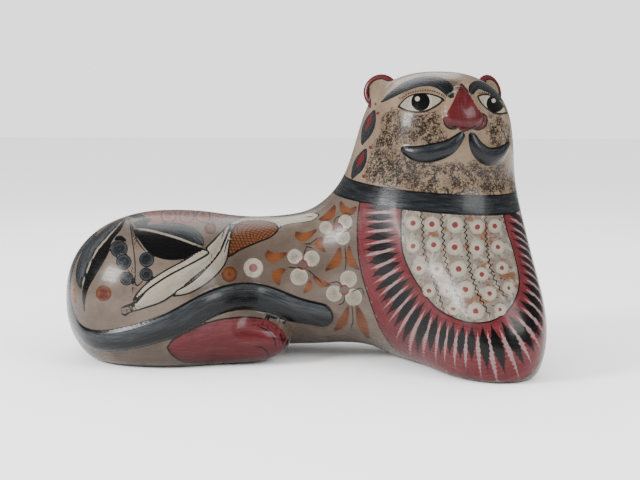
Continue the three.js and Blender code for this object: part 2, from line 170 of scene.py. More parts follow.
class Figure:
    """The smooth figure as one distance field, in millimetres, in the frame of the bust's axis."""

    def __init__(self, sizes):
        self.height = sizes.figure_height / MM
        self.percent = self.height / 100
        turn = sizes.facing
        self.facing = np.array((math.sin(turn), -math.cos(turn), 0.0))
        self.across = np.array((math.cos(turn), math.sin(turn), 0.0))
        self.heading = math.degrees(turn) - 90
        self.head = self.bust_form((1.5, 0, 77.8), (27.5, 23.9, 21.8), blunt=2.4)
        self.neck = self.bust_form((-1.8, -1.2, 42.6), (32.4, 30, 45.3), pitch=16.3)
        self.chest = self.bust_form((15.3, 5.2, 27.6), (48.2, 22, 25.4), heading=7.3, pitch=-36.4)
        self.rump = self.form((-94, -8.8, 21), (35, 38.9, 29.6), blunt=2.3, pitch=-1.2)
        self.back = self.form((-46.2, 2.6, 25.9), (65.6, 26, 23.1), pitch=2.7)
        self.nape = self.form((-22.1, 1.9, 47.1), (27.7, 21.9, 14.5), blunt=2.0, pitch=30.2)
        self.foot = self.form((-71.4, -23.8, 8.6), (23.8, 11.4, 10), blunt=2.0)
        self.ear_roots = [
            self.bust_form(ear_place(side, EAR_ROOT_INWARDS, EAR_ROOT_DOWN), EAR_ROOT_HALF, blunt=2.0)
            for side in EAR_SIDES]

    def form(self, middle, half, blunt=2.2, heading=0.0, pitch=0.0):
        """A superellipsoid: middle and half sizes are percentages of the figure's height."""
        turn, tilt = math.radians(heading), math.radians(pitch)
        turned = np.array((
            (math.cos(turn), math.sin(turn), 0.0), (-math.sin(turn), math.cos(turn), 0.0), (0.0, 0.0, 1.0)))
        tilted = np.array((
            (math.cos(tilt), 0.0, math.sin(tilt)), (0.0, 1.0, 0.0), (-math.sin(tilt), 0.0, math.cos(tilt))))
        scaled_half = np.array(half) * self.percent
        return np.array(middle) * self.percent, scaled_half, blunt, (tilted @ turned).T

    def bust_form(self, place, half, heading=0.0, **rest):
        """A form placed forward, across and up in the frame of the face."""
        middle = place[0] * self.facing + place[1] * self.across + (0.0, 0.0, place[2])
        return self.form(middle, half, heading=self.heading + heading, **rest)

    def distance(self, points):
        """Smooth minimum of all the forms, and a smooth maximum with the ground plane."""
        percent = self.percent
        head, neck = form_distance(points, self.head), form_distance(points, self.neck)
        bust = melt(head, neck, BUST_BLEND * percent)
        bust = melt(bust, form_distance(points, self.chest), BUST_BLEND * percent)
        for root in self.ear_roots:
            bust = melt(bust, form_distance(points, root), EDGE_BLEND * percent)
        rump, back = form_distance(points, self.rump), form_distance(points, self.back)
        body = melt(rump, back, BODY_BLEND * percent)
        body = melt(body, form_distance(points, self.nape), BODY_BLEND * percent)
        whole = melt(body, bust, WHOLE_BLEND * percent)
        whole = melt(whole, form_distance(points, self.foot), FOOT_BLEND * percent)
        return -melt(-whole, points[..., 2], EDGE_BLEND * percent)

    def cast(self, origins, directions):
        """First crossing of the skin along rays that all start inside or all outside, by damped steps
        along the distance and then by secant steps."""
        origins = np.broadcast_to(origins, directions.shape)
        from_outside = bool(self.distance(origins.reshape(-1, 3)[:1])[0] > 0)
        sign = -1.0 if from_outside else 1.0
        reach = np.zeros(directions.shape[:-1])
        for _ in range(60 if from_outside else 34):
            gap = self.distance(origins + reach[..., None] * directions)
            reach += np.clip(-0.85 * sign * gap, -4.0, 30.0 if from_outside else 12.0)
        before = reach - 0.05
        gap_before = self.distance(origins + before[..., None] * directions)
        for _ in range(5):
            gap = self.distance(origins + reach[..., None] * directions)
            slope = (gap - gap_before) / np.where(np.abs(reach - before) < 1e-9, 1.0, reach - before)
            step = np.where(np.abs(slope) > 0.02, -gap / np.where(np.abs(slope) > 0.02, slope, 1.0), 0.0)
            before, gap_before = reach, gap
            reach = reach + np.clip(step, -2.0, 2.0)
        return origins + reach[..., None] * directions

    def normals(self, points):
        """Direction in which the distance grows fastest."""
        step = 0.05
        slopes = [
            self.distance(points + step * axis) - self.distance(points - step * axis)
            for axis in np.eye(3)]
        return unit(np.stack(slopes, axis=-1))


def unit(vectors):
    return vectors / np.maximum(np.linalg.norm(vectors, axis=-1, keepdims=True), 1e-12)


def form_distance(points, form):
    """Distance to a superellipsoid, with the slope taken out: sum of |x/a|^n to the power 1/n, less 1,
    over its own gradient."""
    middle, half, blunt, axes = form
    ratio = np.abs((points - middle) @ axes) / half + 1e-9
    powered = ratio ** blunt
    total = powered.sum(axis=-1)
    size = total ** (1 / blunt)
    slope = np.sqrt(((powered / ratio / half) ** 2).sum(axis=-1))
    return (size - 1) * total / (size * slope)


def melt(a, b, blend):
    """Smooth minimum of two distances over the width of the blend."""
    overlap = np.maximum(blend - np.abs(a - b), 0.0) / blend
    return np.minimum(a, b) - overlap ** 3 * blend / 6


def ease(t):
    return t * t * (3 - 2 * t)


def view_back():
    """Direction from the view's target back to its eye."""
    azimuth, elevation = math.radians(VIEW_AZIMUTH), math.radians(VIEW_ELEVATION)
    level = math.cos(elevation)
    return np.array((math.sin(azimuth) * level, -math.cos(azimuth) * level, math.sin(elevation)))


# Grids


def closed_net(rings, start_tip, end_tip):
    """Vertices and faces of a tube of rings, (ring, spoke, xyz), closed by a point at each end."""
    ring_count, spokes = rings.shape[:2]
    points = np.concatenate((rings.reshape(-1, 3), [start_tip, end_tip]))
    spoke = np.arange(spokes)
    following = np.roll(spoke, -1)
    ring = np.arange(ring_count - 1)[:, None] * spokes
    above = ring + spokes
    quads = np.stack((ring + spoke, ring + following, above + following, above + spoke), axis=-1)
    last = (ring_count - 1) * spokes
    tips = len(points) - 2 + np.zeros(spokes, dtype=int)
    start = np.stack((tips, following, spoke), axis=-1)
    end = np.stack((tips + 1, last + spoke, last + following), axis=-1)
    return points, quads.reshape(-1, 4).tolist() + start.tolist() + end.tolist()


def mesh_object(name, points, faces):
    mesh = bpy.data.meshes.new(name)
    mesh.from_pydata(points * MM, [], faces)
    mesh.polygons.foreach_set("use_smooth", np.ones(len(faces), dtype=bool))
    item = bpy.data.objects.new(name, mesh)
    bpy.context.scene.collection.objects.link(item)
    return item


def put_attribute(mesh, name, values):
    """Stores one number, vector or four numbers for each vertex."""
    kinds = {1: ("FLOAT", "value"), 3: ("FLOAT_VECTOR", "vector"), 4: ("FLOAT_COLOR", "color")}
    width = 1 if values.ndim == 1 else values.shape[1]
    kind, field = kinds[width]
    attribute = mesh.attributes.get(name) or mesh.attributes.new(name, kind, "POINT")
    attribute.data.foreach_set(field, np.ascontiguousarray(values, dtype=np.float32).ravel())


def get_attribute(mesh, name, width):
    field = {1: "value", 3: "vector"}[width]
    values = np.zeros(len(mesh.vertices) * width, dtype=np.float32)
    mesh.attributes[name].data.foreach_get(field, values)
    return values if width == 1 else values.reshape(-1, width)


# The skin's rings: as many as show no facets. The spokes crowd on the show side and a little below.
RUMP_RINGS = 60
BACK_RINGS = 78
BEND_RINGS = 154
NECK_RINGS = 8
CROWN_RINGS = 70
SPOKES = 252
SHOW_SIDE_BIAS = 0.5
SHOW_SIDE_LEAN = 0.45
BEND_BIAS = 0.05
BEND_RADIUS = 43.0
BEND_SWAY = -9.5
CROWN_HEIGHT = 78.5
RUMP_END = -95.0
RUMP_OFFSET = -8.8


def skin_rays(figure):
    """Origins and directions of the skin's rays on a (ring, spoke) grid. The axis runs level
    through the body, bends up about a pivot above the back and ends in the head. Rays fan round
    each end of it and lie in flat rings in between."""
    percent = figure.percent
    level = BODY_LEVEL * percent
    radius = BEND_RADIUS * percent
    rump_end = np.array((RUMP_END, RUMP_OFFSET, BODY_LEVEL)) * percent
    crown = np.array((0.0, 0.0, CROWN_HEIGHT)) * percent
    down, up = np.array((0.0, 0.0, -1.0)), np.array((0.0, 0.0, 1.0))
    aft, ahead = np.array((-1.0, 0.0, 0.0)), np.array((1.0, 0.0, 0.0))
    rings = []
    for t in np.arange(1, RUMP_RINGS + 1) / RUMP_RINGS:
        rings.append((rump_end, down, aft, math.pi / 2 * (1 - t)))
    for t in np.arange(1, BACK_RINGS + 1) / BACK_RINGS:
        x = rump_end[0] + (-radius - rump_end[0]) * t
        rings.append((np.array((x, rump_end[1] * (1 - ease(t)), level)), down, aft, 0.0))
    for t in np.arange(1, BEND_RINGS + 1) / BEND_RINGS:
        angle = math.pi / 2 * (t + BEND_BIAS * math.sin(2 * math.pi * t))
        belly = np.array((math.sin(angle), 0.0, -math.cos(angle)))
        sway = BEND_SWAY * percent * math.sin(2 * angle) ** 2
        pivot = np.array((-radius, sway, level + radius))
        rings.append((pivot + radius * belly, belly, up, 0.0))
    for t in np.arange(1, NECK_RINGS + 1) / NECK_RINGS:
        z = (level + radius) * (1 - t) + crown[2] * t
        rings.append((np.array((0.0, 0.0, z)), ahead, up, 0.0))
    for t in np.arange(1, CROWN_RINGS) / CROWN_RINGS:
        rings.append((crown, ahead, up, math.pi / 2 * t))
    origins, bellies, poles, tilts = (np.array(part) for part in zip(*rings))
    turn = 2 * np.pi * np.arange(SPOKES) / SPOKES
    turn = turn - SHOW_SIDE_BIAS * np.sin(turn - SHOW_SIDE_LEAN)
    show_side = np.array((0.0, -1.0, 0.0))
    spokes = np.cos(turn)[None, :, None] * show_side + np.sin(turn)[None, :, None] * bellies[:, None]
    directions = spokes * np.cos(tilts)[:, None, None] + poles[:, None] * np.sin(tilts)[:, None, None]
    tips = np.array((rump_end, crown)), np.array((aft, up))
    return np.broadcast_to(origins[:, None], directions.shape), directions, tips


# Bands: paths on the skin with a half width, used for the relief and to measure painted shapes


class Band:
    """A path on the skin: its places, half widths, rises and the run of length along it."""

    def __init__(self, figure, places, halves, rises=None):
        self.places = places
        self.halves = np.broadcast_to(halves, len(places)).astype(float)
        self.rises = np.zeros(len(places)) if rises is None else rises
        self.steps = np.diff(places, axis=0)
        self.lengths = np.maximum(np.linalg.norm(self.steps, axis=1), 1e-6)
        self.run = np.concatenate(([0.0], np.cumsum(self.lengths)))
        normals = figure.normals(places)
        self.sides = unit(np.cross(normals[:-1], self.steps))

    def near(self, points, margin):
        """Indices of the points within the margin of the band's box."""
        margin = margin + self.halves.max()
        low, high = self.places.min(axis=0) - margin, self.places.max(axis=0) + margin
        return np.flatnonzero(((points > low) & (points < high)).all(axis=1))

    def measure(self, points):
        """For each point the least of gap less half width over the steps, and there the gap, the
        signed distance to the side, the half width, the run and the rise."""
        offset = points[:, None] - self.places[None, :-1]
        share = np.einsum("pkc,kc->pk", offset, self.steps) / self.lengths ** 2
        share = np.clip(share, 0.0, 1.0)
        gap = np.linalg.norm(offset - share[..., None] * self.steps, axis=2)
        half = self.halves[:-1] + share * np.diff(self.halves)
        best = np.argmin(gap - half, axis=1)
        pick = np.arange(len(points)), best
        share, gap, half = share[pick], gap[pick], half[pick]
        signed = np.einsum("pc,pc->p", offset[pick], self.sides[best])
        run = self.run[best] + share * self.lengths[best]
        rise = self.rises[best] + share * np.diff(self.rises)[best]
        return {"edge": gap - half, "gap": gap, "side": signed, "half": half, "run": run, "rise": rise}


def curve_at(rows, shares):
    """Points of the curve through rows of numbers, by the Catmull-Rom formula, at shares of its
    spans."""
    rows = np.asarray(rows, dtype=float)
    padded = np.concatenate((2 * rows[:1] - rows[1:2], rows, 2 * rows[-1:] - rows[-2:-1]))
    place = np.asarray(shares) * (len(rows) - 1)
    span = np.minimum(place.astype(int), len(rows) - 2)
    t = (place - span)[:, None]
    a, b, c, d = (padded[span + k] for k in range(4))
    square, cube = 2 * a - 5 * b + 4 * c - d, 3 * b - a - 3 * c + d
    return 0.5 * (2 * b + (c - a) * t + square * t ** 2 + cube * t ** 3)


def smooth_rows(rows, per_span=6):
    return curve_at(rows, np.linspace(0, 1, per_span * (len(rows) - 1) + 1))


def crowded_shares(steps):
    """Shares of a run that crowd at both ends, which are round."""
    return (1 - np.cos(np.pi * np.arange(steps + 1) / steps)) / 2


def mixed(low, high, share):
    return low * (1 - share) + high * share


def point_on_face(figure, sideways, up, forward=1.0):
    origins = sideways[:, None] * figure.across + up[:, None] * np.array((0.0, 0.0, 1.0))
    return figure.cast(origins, np.broadcast_to(forward * figure.facing, origins.shape))


RUMP_SWING = 33.0
TAIL_LINE = ((0, 15.2), (12, 17.9), (33, 23.9), (53, 15.2), (73, 9.6), (85, 12), (92, 24), (95, 44))
TAIL_START = -33.0
TAIL_SINKS = (0.6, 0.77)
ROOT_RELIEF = 0.08


def tail_band(figure, sizes):
    """The tail lies along the flank, swings round the rump and climbs up its end. Its line has runs
    from the tip and heights, in percentages, and the relief sinks away where the tail swings."""
    share = crowded_shares(90)
    run, up = curve_at(TAIL_LINE, share).T
    straight = TAIL_START - RUMP_END
    swing = np.maximum(run - straight, 0) / RUMP_SWING
    x = TAIL_START - np.minimum(run, straight)
    origins = np.stack((x, np.full_like(x, RUMP_OFFSET), up), axis=1) * figure.percent
    places = figure.cast(origins, np.stack((-np.sin(swing), -np.cos(swing), np.zeros_like(swing)), axis=1))
    above = ease(np.clip((TAIL_SINKS[1] - share) / (TAIL_SINKS[1] - TAIL_SINKS[0]), 0, 1))
    rises = sizes.tail_relief / MM * mixed(ROOT_RELIEF, 1, above)
    halves = mixed(sizes.tail_tip_width, sizes.tail_root_width, share) / MM / 2
    return Band(figure, places, halves, rises)


MOUSTACHE_HALVES = (
    ((0.6, 78.9), (-4, 74.7), (-9.6, 72.6), (-14.6, 72.3), (-18.6, 73.7)),
    ((3.3, 78.9), (5.6, 73.9), (9.6, 71.2), (14.6, 72), (19.5, 75.3)),
)
MOUSTACHE_SPAN = (0.05, 0.95)
MOUSTACHE_FULLNESS = 0.75


def moustache_bands(figure, sizes):
    """Each half hangs from below the nose and turns up at its tip. It swells as a sine."""
    share = crowded_shares(40)
    swell = np.sin(np.pi * mixed(*MOUSTACHE_SPAN, share)) ** MOUSTACHE_FULLNESS
    bands = []
    for half in MOUSTACHE_HALVES:
        sideways, up = curve_at(half, share).T * figure.percent
        places = point_on_face(figure, sideways, up)
        halves = sizes.moustache_width / MM / 2 * swell
        bands.append(Band(figure, places, halves, sizes.moustache_relief / MM * swell))
    return bands


NOSE_AXIS = 0.8
NOSE_TOP = 94.4
BRIDGE_SHARE = 0.2
NOSTRIL_SHARE = 0.8
NOSTRIL_SWELL = 1.15
NOSE_SLOPE = 1.3


def nose_band(figure, sizes):
    """A wedge: narrow and low at the bridge, wide and high at the tip, round below it."""
    share = crowded_shares(28)
    up = NOSE_TOP * figure.percent - sizes.nose_length / MM * share
    places = point_on_face(figure, np.full_like(up, NOSE_AXIS * figure.percent), up)
    swell = ease(np.minimum(share / NOSTRIL_SHARE, 1))
    halves = sizes.nose_width / MM / 2 * mixed(BRIDGE_SHARE, NOSTRIL_SWELL, swell)
    rises = sizes.nose_relief / MM * mixed(BRIDGE_SHARE, 1, share ** NOSE_SLOPE)
    return Band(figure, places, halves, rises)


def relief_bands(figure, sizes):
    return [tail_band(figure, sizes), *moustache_bands(figure, sizes), nose_band(figure, sizes)]


def relief_height(points, band):
    """Height of a rounded band: full on its path, nothing at its edges, round at its ends."""
    height = np.zeros(len(points))
    near = band.near(points, 1.0)
    found = band.measure(points[near])
    to_end = np.minimum(found["run"], band.run[-1] - found["run"]) / np.maximum(found["half"], 1e-6)
    cap = np.sqrt(np.clip(1 - (1 - np.minimum(to_end, 1)) ** 2, 0, 1))
    width = np.maximum(found["half"] * cap, 1e-6)
    share = np.clip(found["gap"] / width, 0, 1)
    height[near] = found["rise"] * cap * np.sqrt(1 - share ** 2)
    return height


def skin_points(figure, sizes):
    """The skin's grid, first smooth and then raised by the tail, the moustache and the nose."""
    origins, directions, (tip_origins, tip_directions) = skin_rays(figure)
    smooth = figure.cast(origins, directions)
    tips = figure.cast(tip_origins, tip_directions)
    smooth[..., 2] = np.where(np.abs(smooth[..., 2]) < 0.02, 0.0, smooth[..., 2])
    flat = np.concatenate((smooth.reshape(-1, 3), tips))
    raised = flat.copy()
    normals = figure.normals(flat)
    height = np.zeros(len(flat))
    for band in relief_bands(figure, sizes):
        height = np.maximum(height, relief_height(flat, band))
    raised += normals * height[:, None]
    return flat, raised, smooth.shape[:2]


EAR_STEPS = 20
EAR_SECTORS = 56
EAR_SPLAY = math.radians(30)
EAR_LIFT = math.radians(12)


def ear_axis(figure, side):
    """Middle of an ear and the direction in which it opens."""
    back, sideways, up = ear_place(side)
    middle = (back * figure.facing + sideways * figure.across + (0.0, 0.0, up)) * figure.percent
    opening = math.cos(EAR_SPLAY) * figure.facing + side * math.sin(EAR_SPLAY) * figure.across
    return middle, math.cos(EAR_LIFT) * opening + math.sin(EAR_LIFT) * np.array((0.0, 0.0, 1.0))


def ear_net(figure, sizes, side):
    """A round cup turned about its own axis: radius R cos(a) and depth (T/2) sin(a), less a hollow
    that grows as sin(a)^4 on the front, for a from -90 to 90 degrees."""
    angle = np.linspace(-np.pi / 2, np.pi / 2, 2 * EAR_STEPS + 1)
    radius = sizes.ear_radius / MM * np.cos(angle)
    depth = sizes.ear_thickness / MM / 2 * np.sin(angle)
    depth = depth - np.where(angle > 0, sizes.ear_hollow / MM * np.sin(angle) ** 4, 0.0)
    middle, opening = ear_axis(figure, side)
    first = unit(np.cross((0.0, 0.0, 1.0), opening))
    second = np.cross(opening, first)
    turn = 2 * np.pi * np.arange(EAR_SECTORS) / EAR_SECTORS
    spoke = np.cos(turn)[:, None] * first + np.sin(turn)[:, None] * second
    rings = middle + radius[1:-1, None, None] * spoke + depth[1:-1, None, None] * opening
    return closed_net(rings, middle + depth[0] * opening, middle + depth[-1] * opening)


# Where each painted shape lies in the picture, in pixels of its 640 by 480 frame. A stroke has rows of
# x, y and half width, a spot has x, y and radius, and a leaf has its two edges, which share both ends.
PETALS_PX = (
    (294.8, 256.4, 7.4), (311.8, 258.5, 8), (299.1, 276.7, 8.8),
    (325.8, 227.6, 6.5), (345.2, 221.5, 7), (342.7, 237.3, 7.6),
    (334.2, 293.6, 8.1), (348.5, 279.1, 8.5), (353.6, 297.3, 8.6))
FLOWER_HEARTS_PX = ((302.7, 264.9, 4.6), (338.1, 227.8, 4.4), (344.2, 290, 4.6))
ORANGE_STROKES_PX = (
    ((318.5, 220.3, 0.8), (329.5, 215.5, 4.6), (335.5, 204.5, 0.8)),
    ((340.3, 201, 0.8), (344, 209.5, 4), (350.5, 211.5, 4), (357, 206.2, 0.8)),
    ((294.5, 233.5, 2.5), (304, 237, 4.6), (317.5, 229.4, 0.8)),
    ((323.3, 236.7, 0.8), (318.6, 243.5, 4.4), (325.5, 253, 0.6)),
    ((266, 251.5, 2.4), (273, 257.5, 5.4), (288, 253, 0.8)),
    ((286, 268.5, 0.8), (277, 275, 5.2), (279.5, 286.4, 0.6)),
    ((309.6, 279.5, 0.8), (309, 287, 3.6), (303.3, 293.4, 1)),
    ((312.4, 275.5, 0.8), (321, 283, 4), (331, 285, 0.8)),
    ((340.3, 246, 0.8), (336.3, 261, 5), (324.5, 271.5, 0.8)),
    ((348.8, 244.5, 0.8), (350.3, 260, 4.6), (359.5, 270.5, 0.8)),
    ((348.8, 305, 0.8), (342.5, 322, 4.6), (333, 332, 0.6)),
    ((356, 304, 1), (362.3, 323, 5), (368.6, 339.5, 1.4)),
)
ORANGE_SPOTS_PX = ((103.6, 293.2, 8), (210.4, 228.3, 6), (229.3, 274.3, 7.9))
ORANGE_SLIVER_PX = ((74.8, 287.5, 0.8), (74.2, 295.6, 2.4), (75.4, 303.8, 0.8))
ORANGE_CENTRE_PX = (103.4, 293.4, 3)
RED_CENTRED_SPOT_PX = (253.3, 267.8, 9.8)
RED_CENTRE_PX = (253.3, 267.8, 4.3)
FLOWER_TENDRILS_PX = (
    ((304, 254), (307, 247), (312, 248)),
    ((288, 267), (296, 268), (303, 268)),
    ((308, 270), (316, 277), (322, 283)),
    ((334, 223), (336, 218), (341, 216)),
    ((352, 227), (347, 231), (343, 232)),
    ((336, 232), (333, 237), (327, 239)),
    ((345, 297), (343, 303), (338, 305)),
    ((330, 283), (338, 282), (342, 287)),
    ((352, 292), (361, 288), (364, 295)),
    ((345, 247), (346, 262), (345, 270)),
    ((352, 306), (353, 320), (351, 328)),
    ((304, 244), (311, 243), (317, 238)),
)
LEFT_LEAF_PALE_PX = (
    ((124, 218.3), (110.7, 224.2), (98.9, 233.6), (87.1, 243.1), (82.4, 251.3), (77.7, 263.1),
    (75.9, 274.9), (77.1, 283.2), (80.5, 288.5)), ((124, 218.3), (107.2, 236.2), (95.4, 250.3),
    (88, 266), (83.2, 279), (80.5, 288.5)))
LEFT_LEAF_DARK_PX = (
    ((125.5, 218.6), (108.4, 238.4), (96.8, 252.5), (89.6, 267.5), (84.8, 280.2), (82.6, 291),
    (83, 304), (85.4, 318.6)), ((125.5, 218.6), (121.3, 228.9), (111.9, 240.7), (108.4, 252.5),
    (101.3, 265.5), (94.2, 277.3), (88.3, 287.9), (85.4, 298.5), (84.4, 308), (85.4, 318.6)))
RIGHT_LEAF_PALE_PX = (
    ((133.7, 227.7), (142.6, 225.4), (160.3, 223.6), (172.1, 222.8), (183.9, 224.2), (193.3, 227.7),
    (199.2, 232.5), (202.1, 237.2), (203.6, 241.9), (203.3, 246)), ((133.7, 227.7), (147.3, 228.3),
    (160.3, 231.3), (178, 236.6), (192.1, 241.9), (203.3, 246)))
RIGHT_LEAF_DARK_PX = (
    ((134.1, 229.2), (144.9, 231.3), (160.3, 234.6), (178, 239.8), (193.3, 245.4), (204.5, 249)),
   ((134.1, 229.2), (135.5, 234.8), (140.2, 240.7), (146.1, 249), (153.2, 254.9), (161.4, 258.4),
    (172.1, 259.8), (183.9, 258.4), (194.5, 253.7), (204.5, 249)))
LEAF_VEINS_PX = (
    ((124.4, 218.4, 0.3), (108, 237.2, 0.8), (96.2, 251.4, 0.9), (88.8, 266.8, 0.9), (84, 279.6, 0.8),
    (81.4, 288.6, 0.3)), ((134, 228.6, 0.4), (147, 229.9, 0.8), (160.3, 233, 0.9), (178, 238.2, 1),
    (193, 243.7, 0.8), (203.8, 247.6, 0.4)))
SMALL_LEAF_PX = (
    ((133.7, 223.6), (140.2, 219.5), (147.3, 218.3), (151.4, 219.5)),
    ((133.7, 223.6), (137.7, 225.6), (144.9, 224.4), (151.4, 219.5)))
TOP_LEAF_PX = ((128.6, 215.4, 0.7), (137, 215.8, 2.2), (145.9, 217.2, 0.7))
BERRIES_PX = (
    (119, 249, 8.4), (123.7, 262, 7.3), (146.7, 259.6, 7.1), (126.6, 278.5, 6.6), (146.1, 274.3, 6.3))
BERRY_CAP_PX = ((114, 240.6, 0.6), (120, 238, 2.6), (127, 241.4, 0.8))
BERRY_STEMS_PX = (
    ((129, 218), (132, 238), (135, 262), (135, 287)),
    ((131, 222), (138, 242), (146, 252)),
    ((127, 268), (131, 276), (133, 292)),
    ((135, 287), (140, 284), (143, 280)),
)
BODY_FEATHERS_PX = (
    (((208.9, 252.5), (205.7, 249.9), (199.2, 251.6), (183.9, 260.8), (166.2, 270.2), (148.5, 282),
     (137.8, 292.6), (132.2, 302.1)), ((208.9, 252.5), (201.5, 257.8), (183.9, 267.3),
     (166.2, 276.7), (148.5, 288.8), (140.2, 296.2), (132.2, 302.1))), (((229.9, 223.6),
     (222.8, 230.7), (213.3, 241), (206.3, 248.4), (208.9, 253.1), (201.5, 258.2), (183.9, 267.5),
     (166.2, 277), (148.5, 289.1), (141.4, 296.7), (128.4, 312.9)), ((229.9, 223.6),
     (228.1, 231.3), (225.1, 239.5), (219.2, 252.5), (208.6, 265.5), (195.6, 276.1),
     (183.9, 286.1), (172.1, 295.3), (160.3, 302.6), (142.6, 308.5), (128.4, 312.9))),
   (((229.9, 225.4), (228.1, 232.5), (225.1, 240.7), (219.2, 253.1), (208.6, 266.1),
     (195.6, 279.1), (183.9, 287), (176.8, 290.8), (172.6, 296.2)), ((229.9, 225.4), (231, 231.3),
     (229.9, 243.1), (227.5, 257.2), (222.8, 267.3), (213.3, 277.9), (201.5, 286.7),
     (187.4, 293.8), (172.6, 296.2))))
FEATHER_TENDRILS_PX = (
    ((140.2, 298.5), (132, 303.8), (121.9, 307.7)), ((128.4, 312.7), (124.9, 315.3), (122, 313.4)))
BIRD_BODY_PX = (
    ((227.6, 225.2), (238.5, 219.1), (250.6, 216.9), (265.2, 216.6), (279.7, 216.9), (294.2, 215.5),
    (308.8, 213), (314.8, 213), (319.4, 214.8)), ((227.6, 225.2), (250, 222), (270, 223),
    (278.5, 228.8), (283.3, 225.4), (293, 223.3), (305.2, 221.8), (312.4, 220.3), (319.4, 214.8)))
BIRD_WING_PX = (
    ((227.6, 256.4), (228.8, 248.2), (230.6, 238.5), (233, 230), (238.5, 223.3), (244.5, 220.9),
    (253, 220.3), (262.7, 220.5), (270, 221.8), (275.5, 223.9), (278.2, 227.6)), ((227.6, 256.4),
    (231, 255.5), (238.5, 250.6), (250.6, 245.2), (262.7, 240.3), (270, 237.3), (276.7, 231.8),
    (278.2, 227.6)))
BIRD_EYE_PX = ((305.8, 217), (312, 216.4))
ROSETTE_FIELD_PX = (
    ((142, 219.4), (155, 211), (175, 207), (195, 208), (213, 215)),
    ((142, 219.4), (156, 221.6), (175, 222.6), (198, 222.6), (213, 215)))
ROSETTE_SCALLOPS_PX = ((168.6, 215.6, 7.4), (186.8, 215.8, 7.2), (203, 216, 6.8))
ROSETTE_CENTRES_PX = ((168.6, 214.8, 3), (186.8, 215, 3), (203, 215.4, 2.8))
ROSETTE_LINE_PX = ((208.5, 221), (217, 221.6), (226.5, 224))
HIND_FOOT_PX = (
    ((167.3, 347.5), (173.2, 339.8), (183.9, 333.3), (201.5, 325.1), (219.2, 319.7), (240, 317.3),
    (250.6, 317.3), (262.7, 318.8), (272.4, 321.5), (279.7, 325.8), (284.5, 330.6), (287, 337.9),
    (288.4, 343.3)), ((167.3, 347.5), (170.9, 354), (178, 359), (187.4, 362.6), (214, 362.4),
    (240, 361), (260.3, 359.6), (268.8, 358), (277.3, 355), (283, 350), (288.4, 343.3)))
FOOT_END_LINE_PX = ((274.5, 323.4), (280, 327.6), (284, 333), (286.2, 339), (286.6, 345), (284.4, 350.4))
TOE_ARCS_PX = (
    ((262.7, 321.5), (273.6, 326.4), (280.3, 334.2), (282.7, 343.9)),
    ((259, 326.5), (268, 331), (274, 338.5), (276, 347)),
    ((256, 346.2), (263, 348), (267.4, 352.5), (268.6, 357)),
)
NOSE_PX = (
    ((461.6, 83.6), (458.4, 90), (454.6, 98), (451.2, 105.5), (448.6, 111), (444.6, 115.6),
    (443.7, 120.6), (446, 126.2), (451.5, 129.2), (456, 128.8), (459.6, 127.8), (462, 129.8),
    (465.5, 130.8)), ((461.6, 83.6), (467, 90), (471.4, 98), (476, 105.5), (480, 111),
    (486, 115.8), (487.4, 120.8), (485.5, 126.2), (479.5, 129.8), (475, 129.4), (472, 128.2),
    (469, 130), (465.5, 130.8)))
BROWS_PX = (
    ((381, 102.5, 0.5), (391, 95.2, 2.8), (404, 87.2, 4.3), (417, 82.4, 4.6), (430, 81, 4.9),
    (441, 83.8, 5.6), (448, 89.6, 5.4), (451.6, 98.3, 2.4)), ((471.8, 95, 1.2), (473, 88, 4),
    (479, 84.8, 3.9), (489, 89.4, 3.2), (499, 97, 2), (507, 104, 0.5)))
EYES_PX = (
    (((398.4, 106.6), (404, 99.8), (411, 95.4), (420, 93.6), (430, 94.2), (438, 96.4), (443.4, 99.2)),
     ((398.4, 106.6), (406, 110.2), (415, 112), (425, 111.2), (434, 107.2), (440, 103), (443.4, 99.2))),
    (((477.6, 96.2), (483, 94.6), (489, 95), (496, 98.4), (502, 104.4), (507.4, 112.6)),
     ((477.6, 96.2), (481, 102.6), (487, 108.6), (494, 112.4), (501, 113.8), (507.4, 112.6))),
)
IRISES_PX = ((420.6, 101.6, 9.4), (495.2, 103.6, 8.8))
EYE_LIGHTS_PX = ((417.4, 98.8, 2.6), (493.6, 100.6, 2.3))
LASH_LINES_PX = (
    ((400, 98.6), (408, 92.4), (419, 89.4), (431, 89.4), (441, 93.2), (446, 97.6)),
    ((477.5, 92.6), (485, 91.6), (493, 95), (501, 101), (507, 107.5)))
INNER_LID_LINE_PX = ((443, 99.6), (447, 101.4), (451, 102.4))
FOREHEAD_FOCUS_PX = (458, 104)
SIDE_LEAVES_PX = (
    ((374.5, 110, 0.8), (371, 120, 4.8), (367, 131, 5.4), (361.5, 145, 0.8)),
    ((366, 148.5, 0.8), (362, 158, 4.8), (357.5, 167.5, 5.2), (351.5, 178.5, 0.8)))
SIDE_LEAF_HEARTS_PX = (
    ((372.5, 113, 0.4), (369, 122, 1.9), (365.4, 131, 0.4)),
    ((364.2, 151, 0.4), (360.5, 160, 2.1), (356.4, 168, 0.4)))
RED_DIAMONDS_PX = ((377.8, 113.3, 1.7), (370.4, 147.4, 1.9), (363.9, 176.3, 1.9), (375.5, 104, 1.3))
EAR_TRAIL_PX = ((367.5, 84, 2), (367.8, 95, 2), (369.5, 103, 1.6), (370.5, 109, 0.6))
STUBBLE_PX = (
    (390, 125, 13), (405, 131, 13), (425, 124, 12), (433, 137, 10), (385, 140, 10), (380, 152, 13),
   (375, 168, 12), (392, 172, 14), (400, 160, 10), (415, 172, 13), (435, 178, 14), (455, 181, 14),
   (475, 178, 13), (430, 190, 9), (470, 190, 9), (490, 182, 12), (496, 126, 11), (508, 136, 9),
   (497, 140, 8), (500, 178, 12), (512, 183, 10))
